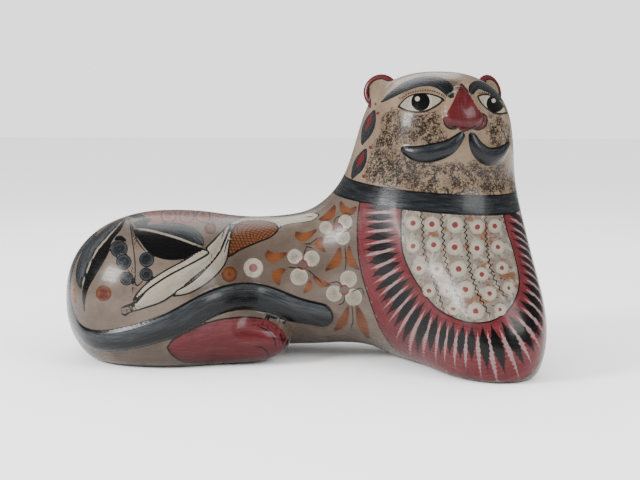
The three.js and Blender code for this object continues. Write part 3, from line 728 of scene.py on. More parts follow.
BIB_INNER_PX = (
    (402, 203), (401, 222), (401, 236), (403, 253), (410, 271), (423, 292), (438, 309), (459, 320),
   (477.5, 323), (494, 320), (508, 310.5), (517, 295), (519, 278), (514, 253), (507, 230.5),
   (502, 208))
BIB_OUTER_PX = (
    (361, 193), (357.5, 222), (358, 250), (361, 271), (367, 292), (374, 313), (382, 331.5), (396, 351),
   (420, 364), (450, 374), (480, 381.5))
BIB_DOTS_PX = (
    (413, 223.2, 7.4), (431.9, 224.2, 7.8), (455, 224.9, 8.3), (477.5, 227, 7.4), (494.8, 226, 7),
    (413, 246, 6.8), (433.7, 244.8, 7.4), (454.6, 247.3, 8.1), (477, 248.3, 7.4), (498, 247, 7),
    (418.9, 268.4, 6.8), (437, 269, 6.8), (458.6, 269, 8.3), (481.7, 274.3, 7.2), (502, 268, 6.6),
    (429, 290.8, 6.6), (446.6, 291, 6.4), (465.3, 289.4, 8.5), (489.4, 293.4, 7.4), (508.6, 287.8, 6.2),
    (453.4, 309, 6.4), (475.8, 311.2, 8.8), (500.5, 309.6, 6.2))
BIB_WAVES_PX = (
    ((420.7, 209), (422.5, 226), (424, 250), (430, 270), (438, 292), (444, 311)),
    ((441, 212), (443, 236), (447, 267), (456.5, 292), (466, 312), (470.5, 320)),
    ((464.9, 214), (466, 236), (470.5, 270), (477.5, 292), (486, 309), (491.5, 318)),
    ((485.2, 213), (486.6, 243), (491, 270), (498.5, 286.6), (508.4, 300.7)))
DOT_HEART = 0.38


def evenly(rows, count=28):
    """The curve through rows of x and y, as points in equal steps along it."""
    curve = smooth_rows(rows)
    run = np.concatenate(([0.0], np.cumsum(np.linalg.norm(np.diff(curve, axis=0), axis=1))))
    steps = np.linspace(0, run[-1], count)
    return np.stack([np.interp(steps, run, column) for column in curve.T], axis=1)


def stroke_edges(rows):
    """The two edges of a stroke with rows of x, y and half width."""
    rows = smooth_rows(rows)
    along = unit(np.gradient(rows[:, :2], axis=0))
    sideways = np.stack((-along[:, 1], along[:, 0]), axis=1) * rows[:, 2:]
    return rows[:, :2] - sideways, rows[:, :2] + sideways


def spot_edges(spot):
    """The upper and the lower edge of a round spot with x, y and radius."""
    x, y, radius = spot
    turn = np.linspace(0, np.pi, 13)[:, None]
    arc = radius * np.concatenate((-np.cos(turn), np.sin(turn)), axis=1)
    return (x, y) + arc * (1, -1), (x, y) + arc


def inside_outline(points, outline):
    """Whether each point lies in a closed outline, from how often its edges pass to the right."""
    x, y = points[:, :1], points[:, 1:]
    start, end = outline, np.roll(outline, -1, axis=0)
    rise = end[:, 1] - start[:, 1]
    slope = (end[:, 0] - start[:, 0]) / np.where(np.abs(rise) < 1e-9, 1e-9, rise)
    passes = ((y >= start[:, 1]) != (y >= end[:, 1])) & (x < start[:, 0] + slope * (y - start[:, 1]))
    return passes.sum(axis=1) % 2 == 1


# Painting

FAR = 7.0
LAYERS = ("wash", "orange", "cream", "wing", "rose", "slate", "black", "red")
WAVE_LENGTH = 4.4
BRUSH_REACH = 1.6
CAST_START = 720.0
TURNED_AWAY = -0.08
TURNED_AWAY_SCALE = 30.0


class Painter:
    """Keeps, for every point of the skin, its distance to the painted shapes of each colour."""

    def __init__(self, figure, points, shown, shift, bands):
        count = len(points)
        self.figure = figure
        self.points = points
        self.shown = shown
        self.bands = bands
        azimuth = math.radians(VIEW_AZIMUTH)
        self.back = view_back()
        self.right = np.array((math.cos(azimuth), math.sin(azimuth), 0.0))
        self.up = np.cross(self.back, self.right)
        self.eye = np.array(VIEW_TARGET) - shift + VIEW_DISTANCE * self.back
        self.layers = {name: np.full(count, FAR) for name in LAYERS}
        self.pale = np.full(count, FAR)
        self.tone = np.zeros(count)
        self.brush = np.zeros((count, 4))
        self.ink = np.tile((FAR, FAR, 0.5), (count, 1))
        self.lines = np.tile((FAR, FAR, 0.5, 0.0), (count, 1))
        self.facing = figure.normals(points)
        self.seed = 0.0

    def cast(self, pixels, far_side):
        """Places on the smooth skin behind the picture's pixels, or their mirror image."""
        x = (pixels[:, 0] - PICTURE_WIDTH / 2) / VIEW_FOCAL
        y = (PICTURE_HEIGHT / 2 - pixels[:, 1]) / VIEW_FOCAL
        directions = unit(x[:, None] * self.right + y[:, None] * self.up - self.back)
        mirror = (1.0, -1.0 if far_side else 1.0, 1.0)
        start = self.eye + CAST_START * directions
        return self.figure.cast(start * mirror, directions * mirror)

    def project(self, points, far_side):
        """Pixels of the picture, or of its mirror image, at which points show."""
        offset = points * (1.0, -1.0 if far_side else 1.0, 1.0) - self.eye
        scale = -VIEW_FOCAL / (offset @ self.back)
        return np.stack((
            PICTURE_WIDTH / 2 + scale * (offset @ self.right),
            PICTURE_HEIGHT / 2 - scale * (offset @ self.up)), axis=1)

    def place(self, pixels, far_side=False):
        """Places on the smooth skin that show at the pixels once the relief has raised them."""
        pixels = np.asarray(pixels, dtype=float)
        places = self.cast(pixels, far_side)
        aimed = pixels
        for _ in range(2):
            height = np.max([relief_height(places, band) for band in self.bands], axis=0)
            if height.max() < 0.05:
                break
            raised = places + self.figure.normals(places) * height[:, None]
            aimed = aimed + pixels - self.project(raised, far_side)
            places = self.cast(aimed, far_side)
        return places

    def between(self, first, second, far_side, lifted=True):
        """A shape between two edges in the picture. It has the points near it and there the distance
        to its outline, negative inside, and the run along its spine and the side of it."""
        outline = np.concatenate((first, second[-2:0:-1]))
        place = self.place if lifted else self.cast
        places = place(np.concatenate((outline, (first + second) / 2)), far_side)
        rim, spine = places[:len(outline)], places[len(outline):]
        rim_band = Band(self.figure, np.concatenate((rim, rim[:1])), 0.0)
        near = rim_band.near(self.points, FAR)
        inside = inside_outline(self.project(self.shown[near], far_side), outline)
        towards = self.facing[near] @ (self.back * (1.0, -1.0 if far_side else 1.0, 1.0))
        gap = rim_band.measure(self.points[near])["gap"]
        found = Band(self.figure, spine, 0.0).measure(self.points[near])
        run = found["run"]
        edge = np.maximum(np.where(inside, -gap, gap), TURNED_AWAY_SCALE * (TURNED_AWAY - towards))
        return {"near": near, "edge": edge, "run": run, "gap": found["gap"],
                "side": found["side"], "share": run / max(run.max(initial=0.0), 1e-6)}

    def leaf(self, edges, far_side=False):
        return self.between(evenly(edges[0]), evenly(edges[1]), far_side)

    def stroke(self, rows, far_side=False, lifted=True):
        return self.between(*stroke_edges(rows), far_side, lifted)

    def spot(self, spot, far_side=False):
        """A round shape. Its brush marks run round its middle, and its share grows outwards."""
        shape = self.between(*spot_edges(spot), far_side)
        middle = self.place(np.array((spot[:2],)), far_side)[0]
        offset = self.points[shape["near"]] - middle
        gap = np.linalg.norm(offset, axis=1)
        angle = np.arctan2(offset[:, 2], offset @ self.right)
        share = gap / np.maximum(gap - np.minimum(shape["edge"], 0), 1e-6)
        return {**shape, "run": angle * spot[2] * MM_PER_PIXEL, "side": gap, "share": share}

    def roll(self, band):
        """A shape over a raised band, with its round ends."""
        inner = (band.run > band.halves[0]) & (band.run < band.run[-1] - band.halves[-1])
        trimmed = Band(self.figure, band.places[inner], band.halves[inner])
        near = trimmed.near(self.points, FAR)
        found = trimmed.measure(self.points[near])
        return {**found, "near": near, "share": found["run"] / trimmed.run[-1]}

    def lay(self, layer, shape, outline=0.0, tone=None, ring=0.0, within=None):
        """Paints a shape in one colour. It covers what was painted before, and it may have an ink
        outline, be only a ring, or stay within another shape. The tone is a formula of the share
        across the shape and the share along it. Returns the distance to the shape."""
        near, edge = shape["near"], shape["edge"]
        if ring:
            edge = np.abs(edge) - ring
        if within is not None:
            edge = np.maximum(edge, within[near])
        self.settle(layer, near, edge, outline)
        self.seed += 1.37
        kept = edge < BRUSH_REACH
        own = near[kept]
        seeds = np.full(len(near), self.seed)
        self.brush[own] = np.stack((shape["run"], shape["side"], seeds, shape["share"]), axis=1)[kept]
        across = shape["side"] / np.maximum(np.abs(shape["side"]) - np.minimum(shape["edge"], 0), 1e-6)
        self.tone[own] = 0.0 if tone is None else np.clip(tone(across, shape["share"]), -1, 1)[kept]
        whole = np.full(len(self.points), FAR)
        whole[near] = edge
        return whole

    def settle(self, layer, near, edge, outline):
        """Joins a shape's edge distance to its layer and cuts it out of the layers above."""
        self.layers[layer][near] = np.minimum(self.layers[layer][near], edge)
        for upper in LAYERS[LAYERS.index(layer) + 1:]:
            self.layers[upper][near] = np.maximum(self.layers[upper][near], -edge)
        self.lines[near[edge < -0.2], 1] = FAR
        if outline:
            self.outline(near, edge, outline)
        elif layer != "red":
            self.ink[near[edge < -0.3], 1] = FAR

    def outline(self, near, edge, width):
        """Draws ink along a shape's edge and hides the ink that it covers."""
        closer = (edge < 0) | (np.abs(edge) < self.ink[near, 1])
        values = np.stack((edge, np.abs(edge), np.full(len(edge), width / 2)), axis=1)
        self.ink[near[closer]] = values[closer]

    def bare(self, shape):
        """Rubs a shape out of every colour."""
        for name in LAYERS:
            self.layers[name][shape["near"]] = np.maximum(self.layers[name][shape["near"]], -shape["edge"])

    def line(self, rows, width=0.8, far_side=False, wavy=False):
        """Draws a thin ink line that tapers at both ends."""
        band = Band(self.figure, self.place(smooth_rows(rows), far_side), 0.0)
        near = band.near(self.points, FAR)
        found = band.measure(self.points[near])
        closer = found["gap"] < self.lines[near, 1]
        share = found["run"] / band.run[-1]
        taper = 0.4 + 0.6 * np.clip(12 * share * (1 - share), 0, 1)
        wave = found["run"] * 2 * np.pi / WAVE_LENGTH if wavy else np.zeros(len(near))
        side = np.where(found["side"] < 0, -1, 1) * found["gap"]
        values = np.stack((side, found["gap"], width / 2 * taper, wave), axis=1)
        self.lines[near[closer]] = values[closer]

    def highlight(self, shape):
        self.pale[shape["near"]] = np.minimum(self.pale[shape["near"]], shape["edge"])


MIDDLE_FEATHER = 1


def even(level):
    """One tone all over a shape."""
    return lambda across, _: level + 0 * across


def rim_light(_, share):
    return 1.1 * share ** 4 - 0.25


def paint_spray(painter, ink, far_side):
    """Leaves, berries, spots and flowers of one flank."""
    def brighter_above(across, _):
        return 0.4 + 0.5 * across

    painter.lay("slate", painter.leaf(LEFT_LEAF_PALE_PX, far_side), ink * 0.6, brighter_above)
    painter.lay("black", painter.leaf(LEFT_LEAF_DARK_PX, far_side), ink * 0.6)
    painter.lay("slate", painter.leaf(RIGHT_LEAF_PALE_PX, far_side), ink * 0.5, brighter_above)
    painter.lay("black", painter.leaf(RIGHT_LEAF_DARK_PX, far_side), ink * 0.6)
    if not far_side:
        for vein in LEAF_VEINS_PX:
            painter.lay("cream", painter.stroke(vein), tone=even(-0.55))
    painter.lay("slate", painter.leaf(SMALL_LEAF_PX, far_side), ink * 0.8)
    painter.lay("slate", painter.stroke(TOP_LEAF_PX, far_side), ink * 0.8)
    for berry in BERRIES_PX:
        painter.lay("slate", painter.spot(berry, far_side), ink * 0.7, rim_light)
    painter.lay("black", painter.stroke(BERRY_CAP_PX, far_side))
    for stem in BERRY_STEMS_PX:
        painter.line(stem, ink * 0.7, far_side)
    for spot in ORANGE_SPOTS_PX:
        painter.lay("orange", painter.spot(spot, far_side))
    painter.lay("orange", painter.stroke(ORANGE_SLIVER_PX, far_side))
    painter.lay("rose", painter.spot(ORANGE_CENTRE_PX, far_side), tone=even(-0.4))
    for stroke in ORANGE_STROKES_PX:
        painter.lay("orange", painter.stroke(stroke, far_side))
    for petal in PETALS_PX:
        disc = painter.spot(petal, far_side)
        painter.lay("cream", disc, tone=lambda across, share: 0.6 * share - 0.75)
    for heart in FLOWER_HEARTS_PX:
        ring = painter.spot(heart, far_side)
        painter.bare(ring)
        painter.lay("red", ring, ring=ink * 0.55)
    for tendril in FLOWER_TENDRILS_PX:
        painter.line(tendril, ink * 0.7, far_side)
    painter.lay("cream", painter.spot(RED_CENTRED_SPOT_PX, far_side))
    painter.lay("red", painter.spot(RED_CENTRE_PX, far_side))


def paint_bird(painter, ink):
    """A long-tailed bird on the show side. The middle feather's edges run close to its neighbours',
    so they are drawn as free lines."""
    for index, feather in enumerate(BODY_FEATHERS_PX):
        lined = index == MIDDLE_FEATHER
        outline = 0.0 if lined else ink * 1.1
        painter.lay("cream", painter.leaf(feather), outline, lambda across, _: -0.25 - 0.3 * across)
        for edge in feather if lined else ():
            painter.line(edge, ink * 1.3)
    for tendril in FEATHER_TENDRILS_PX:
        painter.line(tendril, ink * 1.5)
    painter.lay("cream", painter.leaf(BIRD_BODY_PX), ink * 0.8)
    painter.lay("wing", painter.leaf(BIRD_WING_PX), ink * 1.4)
    painter.line(BIRD_EYE_PX, ink * 1.4)


ROSETTE_MIDDLE = np.array((-190.0, -12.0))
ROSETTE_PETALS = 12
ROSETTE_RINGS = ((27.0, 8.0, "wash"), (15.0, 7.0, "wash"), (0.0, 7.0, "cream"))


def paint_rosette(painter, ink):
    """A peach flower on top of the rump, of which the show side sees the near petals."""
    figure = painter.figure
    turn = 2 * np.pi * np.arange(ROSETTE_PETALS) / ROSETTE_PETALS
    level = BODY_LEVEL * figure.percent
    upwards = np.array(((0.0, 0.0, 1.0), (0.0, 0.0, 1.0)))
    for radius, size, layer in ROSETTE_RINGS:
        for angle in turn if radius else turn[:1]:
            x, y = ROSETTE_MIDDLE + radius * np.array((math.cos(angle), 0.9 * math.sin(angle)))
            origins = np.array([(x + offset, y, level) for offset in (0.0, 0.2)])
            places = figure.cast(origins, upwards)
            petal = Band(figure, places, size)
            near = petal.near(painter.points, FAR)
            found = petal.measure(painter.points[near])
            painter.lay(layer, {**found, "near": near, "share": found["gap"] / size}, ink * 0.6)


def paint_body(painter, ink):
    paint_rosette(painter, ink)
    painter.lay("wash", painter.leaf(ROSETTE_FIELD_PX))
    for scallop, centre in zip(ROSETTE_SCALLOPS_PX, ROSETTE_CENTRES_PX):
        painter.lay("wash", painter.spot(scallop), ink * 0.9)
        painter.lay("orange", painter.spot(centre))
    painter.line(ROSETTE_LINE_PX, ink * 0.8)
    for far_side in (True, False):
        paint_spray(painter, ink, far_side)
        foot = painter.leaf(HIND_FOOT_PX, far_side)
        # The hind foot's rose is painted lighter along one side and darker along the other: a painted
        # highlight and painted shade on its bulge
        painter.lay("rose", foot, ink * 1.2, lambda across, _: 0.7 * across - 0.2)
        for arc in TOE_ARCS_PX:
            painter.line(arc, ink, far_side)
        painter.line(FOOT_END_LINE_PX, ink * 1.6, far_side)
    paint_bird(painter, ink)
    # The tail's slate is painted lighter along one edge and darker along the other: a painted highlight and
    # painted shade across its raised roll
    painter.lay("slate", painter.roll(painter.bands[0]), ink * 1.2, lambda across, _: -0.1 - 0.9 * across)


NOSTRIL_DROP = 25.5
NOSTRIL_SPREAD = 6.2
NOSTRIL_RADIUS = 3.3
NOSTRIL_MARGIN = 1.8


def paint_face(painter, ink):
    percent = painter.figure.percent
    height = np.array((NOSE_TOP * percent - NOSTRIL_DROP,))
    for leaf, heart in zip(SIDE_LEAVES_PX, SIDE_LEAF_HEARTS_PX):
        painter.lay("slate", painter.stroke(leaf), ink * 0.7)
        painter.lay("red", painter.stroke(heart))
    for diamond in RED_DIAMONDS_PX:
        painter.lay("red", painter.spot(diamond))
    painter.lay("rose", painter.stroke(EAR_TRAIL_PX))
    for eye, iris, light in zip(EYES_PX, IRISES_PX, EYE_LIGHTS_PX):
        shape = painter.leaf(eye)
        white = painter.lay("cream", shape, tone=even(-0.35))
        painter.lay("black", painter.spot(iris), within=white)
        painter.highlight(painter.spot(light))
        painter.outline(shape["near"], shape["edge"], ink * 1.4)
    painter.line(INNER_LID_LINE_PX, ink)
    for brow in BROWS_PX:
        painter.lay("slate", painter.stroke(brow, lifted=False), ink * 0.7, even(-0.25))
    painter.lay("rose", painter.leaf(NOSE_PX), ink, lambda across, share: -0.1 - 0.7 * share)
    for side in (-1, 1):
        sideways = np.array((NOSE_AXIS * percent + side * NOSTRIL_SPREAD,))
        middle = point_on_face(painter.figure, sideways, height)
        gap = np.linalg.norm(painter.points - middle, axis=1) - NOSTRIL_RADIUS
        near = np.flatnonzero(np.abs(gap) < NOSTRIL_MARGIN)
        painter.outline(near, gap[near], ink * 0.8)
    # Each moustache half is painted lighter along one edge and darker along the other, the same edge on
    # both halves: a painted highlight and painted shade on the raised relief
    for band, upwards in zip(painter.bands[1:3], (-1, 1)):
        painter.lay("slate", painter.roll(band), ink, lambda across, _: 0.4 * upwards * across - 0.1)


EAR_SLIP_MARGIN = 0.8
EAR_RIM = 0.7
EAR_RIM_DEPTH = -1.5


def paint_ears(painter, sizes, ink):
    """Rose slip on the ear cups all over but for their hollows."""
    for side in EAR_SIDES:
        middle, opening = ear_axis(painter.figure, side)
        offset = painter.points - middle
        depth = offset @ opening
        radius = np.linalg.norm(offset - depth[:, None] * opening, axis=1)
        cup_radius, cup_half = sizes.ear_radius / MM, sizes.ear_thickness / MM / 2
        beyond = np.maximum(radius - cup_radius, np.abs(depth) - cup_half) - EAR_SLIP_MARGIN
        rim = EAR_RIM * cup_radius - radius
        slip = np.where(depth > EAR_RIM_DEPTH, np.maximum(beyond, rim), beyond)
        near = np.flatnonzero(slip < FAR)
        found = {"near": near, "edge": slip[near], "run": radius[near]}
        found.update(side=depth[near], share=radius[near])
        painter.lay("rose", found, ink * 0.8, even(-0.3))


COLLAR_HEIGHT = 122.1
COLLAR_SLOPE = (-0.0866, -0.0496)
COLLAR_HALF = 6.2
COLLAR_REACH = 92.0
NECK_RADIUS = 70.0
HEAD_REACH = 95.0
HEAD_FADE = 6.0
SPIKES_LOWER = 0.26
BIB_SEED = 77.0
BIB_SPIKES = 34
BIB_MARGIN = 15.0
BIB_WIDER_RIGHT = 9.0
BIB_REACH = 0.94


def signed_region(points, outline):
    """Distance to a closed outline in a plane, negative inside it."""
    start, step = outline, np.roll(outline, -1, axis=0) - outline
    best = np.full(len(points), 1e9)
    for a, ab in zip(start, step):
        offset = points - a
        share = np.clip(offset @ ab / max(ab @ ab, 1e-9), 0, 1)
        best = np.minimum(best, np.linalg.norm(offset - share[:, None] * ab, axis=1))
    return np.where(inside_outline(points, outline), -best, best)


def paint_collar_and_bib(painter, ink):
    """A slate collar all round the neck. Below it hangs a bib: a pale field inside a rose border
    whose spikes point outwards. Returns the bib's chart: count along, share across, field and the
    share of the border that the dark spikes reach."""
    figure = painter.figure
    points = painter.points
    forward, sideways = points @ figure.facing, points @ figure.across
    inner, outer_left = painter.place(smooth_rows(BIB_INNER_PX)), painter.place(smooth_rows(BIB_OUTER_PX))
    axis = (inner @ figure.across)[[0, -1]].mean()
    outline = np.stack((outer_left @ figure.across, outer_left[:, 2]), axis=1)
    mirrored = outline[::-1] * (-1, 1) + (2 * axis + BIB_WIDER_RIGHT, 0)
    heights = mirrored[:, 1:] * (0.0, 0.0, 1.0)
    flank = figure.cast(heights, np.broadcast_to(figure.across, heights.shape)) @ figure.across
    mirrored[:, 0] = np.minimum(mirrored[:, 0], BIB_REACH * flank)
    outer_right = point_on_face(figure, mirrored[:, 0], mirrored[:, 1])
    inner_outline = np.stack((inner @ figure.across, inner[:, 2]), axis=1)
    level = points[:, 2] - COLLAR_HEIGHT - COLLAR_SLOPE[0] * forward - COLLAR_SLOPE[1] * sideways
    chart = np.stack((sideways, points[:, 2]), axis=1)
    in_front = np.flatnonzero((forward > 0) & (level < BIB_MARGIN))
    within_outer = signed_region(chart[in_front], np.concatenate((outline, mirrored)))
    near = in_front[within_outer < BIB_MARGIN]
    within_outer = within_outer[within_outer < BIB_MARGIN]
    within_inner = signed_region(chart[near], inner_outline)
    inner_band = Band(figure, inner, 0.0)
    to_inner = inner_band.measure(points[near])
    to_outer = Band(figure, np.concatenate((outer_left, outer_right)), 0.0).measure(points[near])
    inner_edge = np.sign(within_inner) * to_inner["gap"]
    outer_edge = np.sign(within_outer) * to_outer["gap"]
    painter.settle("rose", near, np.maximum(np.maximum(outer_edge, -inner_edge), level[near]), 0.0)
    closest = np.where(np.abs(inner_edge) < np.abs(outer_edge), inner_edge, outer_edge)
    painter.outline(near, closest, ink)
    across = np.clip(inner_edge / np.maximum(to_inner["gap"] + to_outer["gap"], 1e-6), -1, 1)
    picture_steps = np.linalg.norm(np.diff(painter.project(inner, False), axis=0), axis=1)
    picture_run = np.concatenate(([0.0], np.cumsum(picture_steps)))
    count = np.interp(to_inner["run"], inner_band.run, picture_run / picture_run[-1] * BIB_SPIKES)
    field = np.clip(-np.maximum(inner_edge, level[near]) / 4, 0, 1)
    bottom = np.clip(1 - np.abs(count / BIB_SPIKES - 0.5) / 0.3, 0, 1)
    bib = np.tile((0.0, -1.0, 0.0, 1.0), (len(points), 1))
    reach = 1 - SPIKES_LOWER * bottom
    bib[near] = np.stack((count, np.where(outer_edge > 0, -1.0, across), field, reach), axis=1)
    seed = np.full(len(near), BIB_SEED)
    painter.brush[near] = np.stack((to_inner["run"], inner_edge, seed, across), axis=1)
    for wave in BIB_WAVES_PX:
        painter.line(wave, ink * 0.9, wavy=True)
    for x, y, radius in BIB_DOTS_PX:
        painter.lay("cream", painter.spot((x, y, radius)), tone=lambda across, share: 0.4 - 0.8 * share)
        painter.lay("red", painter.spot((x, y, radius * DOT_HEART)))
    from_axis = np.hypot(*points[:, :2].T)
    neck = np.flatnonzero((np.abs(level) < COLLAR_HALF + FAR) & (from_axis < COLLAR_REACH))
    collar = {"near": neck, "edge": np.abs(level[neck]) - COLLAR_HALF, "side": level[neck]}
    collar["run"] = np.arctan2(sideways[neck], forward[neck]) * NECK_RADIUS
    collar["share"] = np.full(len(neck), 0.5)
    # The collar is painted darker towards its upper edge: a painted shade below the head
    painter.lay("slate", collar, ink * 1.1, lambda across, _: -0.2 - 0.2 * across)
    head = np.clip(level / HEAD_FADE, 0, 1) * (from_axis < HEAD_REACH)
    return bib, head


LASH_DROP_PX = 2.4


LASH_REACH = 4.0
LASH_LENGTH = 2.6
LASH_SPACING = 1.7
LASH_END = 0.5
FOREHEAD_NEAR = 13.0
FOREHEAD_FAR = 29.0
FOREHEAD_SPREAD = 0.6
FOREHEAD_SPACING = 1.9
STUBBLE_STEEPNESS = 2.0
STUBBLE_SWELL = 1.75


def fringe_chart(painter):
    """Charts of the short strokes above the eyes and on the forehead: count along, share across."""
    figure = painter.figure
    fringe = np.tile((0.0, -1.0), (len(painter.points), 1))
    for rows in LASH_LINES_PX:
        lowered = smooth_rows(rows) + (0.0, LASH_DROP_PX)
        band = Band(figure, painter.cast(lowered, False), 0.0)
        near = band.near(painter.points, LASH_REACH)
        found = band.measure(painter.points[near])
        run, gap = found["run"], found["gap"]
        upwards = np.where(found["side"] > 0, gap, -gap) / LASH_LENGTH
        inside = (run > LASH_END) & (run < band.run[-1] - LASH_END) & (gap < LASH_REACH)
        fringe[near[inside], 0] = run[inside] / LASH_SPACING
        fringe[near[inside], 1] = upwards[inside]
    focus = painter.place(np.array((FOREHEAD_FOCUS_PX,)))[0]
    offset = painter.points - focus
    sideways, up = offset @ figure.across, offset[:, 2]
    radius = np.linalg.norm(offset, axis=1)
    spread = np.abs(np.arctan2(sideways, up))
    brow = (radius > FOREHEAD_NEAR) & (radius < FOREHEAD_FAR) & (spread < FOREHEAD_SPREAD)
    brow &= painter.points @ figure.facing > 0
    fringe[brow, 0] = radius[brow] / FOREHEAD_SPACING
    fringe[brow, 1] = 0.3 + 0.8 * (spread[brow] / FOREHEAD_SPREAD) ** 2
    return fringe


def stubble_field(painter):
    """Smooth patches of the stippled cheeks and chin, from 0 to 1."""
    field = np.zeros(len(painter.points))
    middles = painter.place(np.array([spot[:2] for spot in STUBBLE_PX]))
    for middle, spot in zip(middles, STUBBLE_PX):
        gap = np.linalg.norm(painter.points - middle, axis=1)
        radius = spot[2] * MM_PER_PIXEL * STUBBLE_SWELL
        field = np.maximum(field, np.clip(STUBBLE_STEEPNESS * (1 - gap / radius), 0, 1))
    return field


GARLAND_REACH = 36.0
GARLAND_LEAVES = 5
GARLAND_HEIGHT = 158.0
GARLAND_WAVE = 10.0
GARLAND_WAVE_LENGTH = 18.0
GARLAND_SPOTS = (("cream", 3.6), ("red", 1.4))


def back_of_head(painter, ink):
    """A plain garland on the side of the head that is turned away."""
    figure = painter.figure
    for index, sideways in enumerate(np.linspace(-GARLAND_REACH, GARLAND_REACH, GARLAND_LEAVES)):
        up = GARLAND_HEIGHT - GARLAND_WAVE * math.cos(sideways / GARLAND_WAVE_LENGTH)
        stem, tip = (sideways - 7, up - 9, 0.8), (sideways + 7, up + 9, 0.8)
        rows = smooth_rows((stem, (sideways, up, 4.2), tip))
        places = point_on_face(figure, rows[:, 0], rows[:, 1], forward=-1.0)
        leaf = painter.roll(Band(figure, places, rows[:, 2]))
        painter.lay("slate" if index % 2 else "orange", leaf, ink * 0.6)
        spot = np.array(((sideways + 9, up - 8), (sideways + 9.3, up - 8), (sideways + 9.6, up - 8)))
        places = point_on_face(figure, spot[:, 0], spot[:, 1], forward=-1.0)
        for layer, radius in GARLAND_SPOTS:
            band = Band(figure, places, radius)
            near = band.near(painter.points, FAR)
            found = band.measure(painter.points[near])
            painter.lay(layer, {**found, "near": near, "share": np.full(len(near), 0.5)})


# Material


class Nodes:
    """Small helper that adds nodes to a tree and links them."""

    def __init__(self, tree):
        self.tree = tree

    def add(self, kind, inputs=(), **settings):
        node = self.tree.nodes.new(kind)
        for name, value in settings.items():
            setattr(node, name, value)
        for key, value in dict(inputs).items():
            self.feed(node.inputs[key], value)
        return node

    def feed(self, socket, value):
        if isinstance(value, bpy.types.NodeSocket):
            self.tree.links.new(value, socket)
        elif isinstance(value, tuple) and len(value) == 3 and socket.type == "RGBA":
            socket.default_value = (*value, 1.0)
        else:
            socket.default_value = value

    def maths(self, operation, *values, clamp=False):
        node = self.add("ShaderNodeMath", operation=operation, use_clamp=clamp)
        for socket, value in zip(node.inputs, values):
            self.feed(socket, value)
        return node.outputs[0]

    def ramp(self, value, low, high, to_low=0.0, to_high=1.0):
        """Smooth step from one level to another."""
        inputs = {"Value": value, "From Min": low, "From Max": high, "To Min": to_low, "To Max": to_high}
        return self.add("ShaderNodeMapRange", inputs, interpolation_type="SMOOTHSTEP").outputs[0]

    def blend(self, share, first, second):
        node = self.add("ShaderNodeMix", data_type="RGBA")
        self.feed(node.inputs[0], share)
        self.feed(node.inputs[6], first)
        self.feed(node.inputs[7], second)
        return node.outputs[2]

    def noise(self, vector, scale, detail=3.0, roughness=0.5, distortion=0.0):
        inputs = {
            "Vector": vector, "Scale": scale, "Detail": detail, "Roughness": roughness,
            "Distortion": distortion}
        return self.add("ShaderNodeTexNoise", inputs).outputs["Fac"]

    def attribute(self, name):
        """The four numbers of a vertex attribute."""
        node = self.add("ShaderNodeAttribute", attribute_name=name, attribute_type="GEOMETRY")
        parts = self.add("ShaderNodeSeparateXYZ", {0: node.outputs["Vector"]}).outputs
        return [*parts, node.outputs["Alpha"]]

    def vector(self, *values):
        return self.add("ShaderNodeCombineXYZ", dict(enumerate(values))).outputs[0]


def new_group(name, inputs, outputs):
    """An empty node group with named sockets, and its input and output nodes."""
    tree = bpy.data.node_groups.new(name, "ShaderNodeTree")
    for label, kind, default in inputs:
        socket = tree.interface.new_socket(label, in_out="INPUT", socket_type=kind)
        if default is not None:
            socket.default_value = default
    for label, kind in outputs:
        tree.interface.new_socket(label, in_out="OUTPUT", socket_type=kind)
    nodes = Nodes(tree)
    return tree, nodes, nodes.add("NodeGroupInput").outputs, nodes.add("NodeGroupOutput").inputs


NUMBER, COLOUR, VECTOR = "NodeSocketFloat", "NodeSocketColor", "NodeSocketVector"


def painted_shape_group():
    """Mask of a painted shape: 1 inside, with an edge that wanders like a brush's."""
    tree, nodes, given, out = new_group(
        "Painted shape",
        (("Distance", NUMBER, 1.0), ("Wander", NUMBER, 0.5), ("Softness", NUMBER, 0.25),
         ("Place", VECTOR, None)),
        (("Mask", NUMBER),))
    wander = nodes.maths("SUBTRACT", nodes.noise(given["Place"], 420.0, 2.0), 0.5)
    edge = nodes.maths("MULTIPLY_ADD", wander, given["Wander"], given["Distance"])
    low = nodes.maths("MULTIPLY", given["Softness"], -1.0)
    nodes.feed(out["Mask"], nodes.maths("SUBTRACT", 1.0, nodes.ramp(edge, low, given["Softness"])))
    return tree


def brush_streak_group():
    """Streaks along a brush stroke: noise that is stretched along its run, plus its cloudiness."""
    tree, nodes, given, out = new_group(
        "Brush streaks",
        (("Run", NUMBER, 0.0), ("Side", NUMBER, 0.0), ("Seed", NUMBER, 0.0),
         ("Fineness", NUMBER, 1.4), ("Stretch", NUMBER, 0.1)),
        (("Streak", NUMBER),))
    along = nodes.maths("MULTIPLY", given["Run"], given["Stretch"])
    over = nodes.maths("MULTIPLY", given["Side"], given["Fineness"])
    place = nodes.vector(along, over, given["Seed"])
    fine = nodes.noise(place, 1.0, 3.0, 0.6)
    nodes.feed(out["Streak"], nodes.ramp(fine, 0.32, 0.68))
    return tree


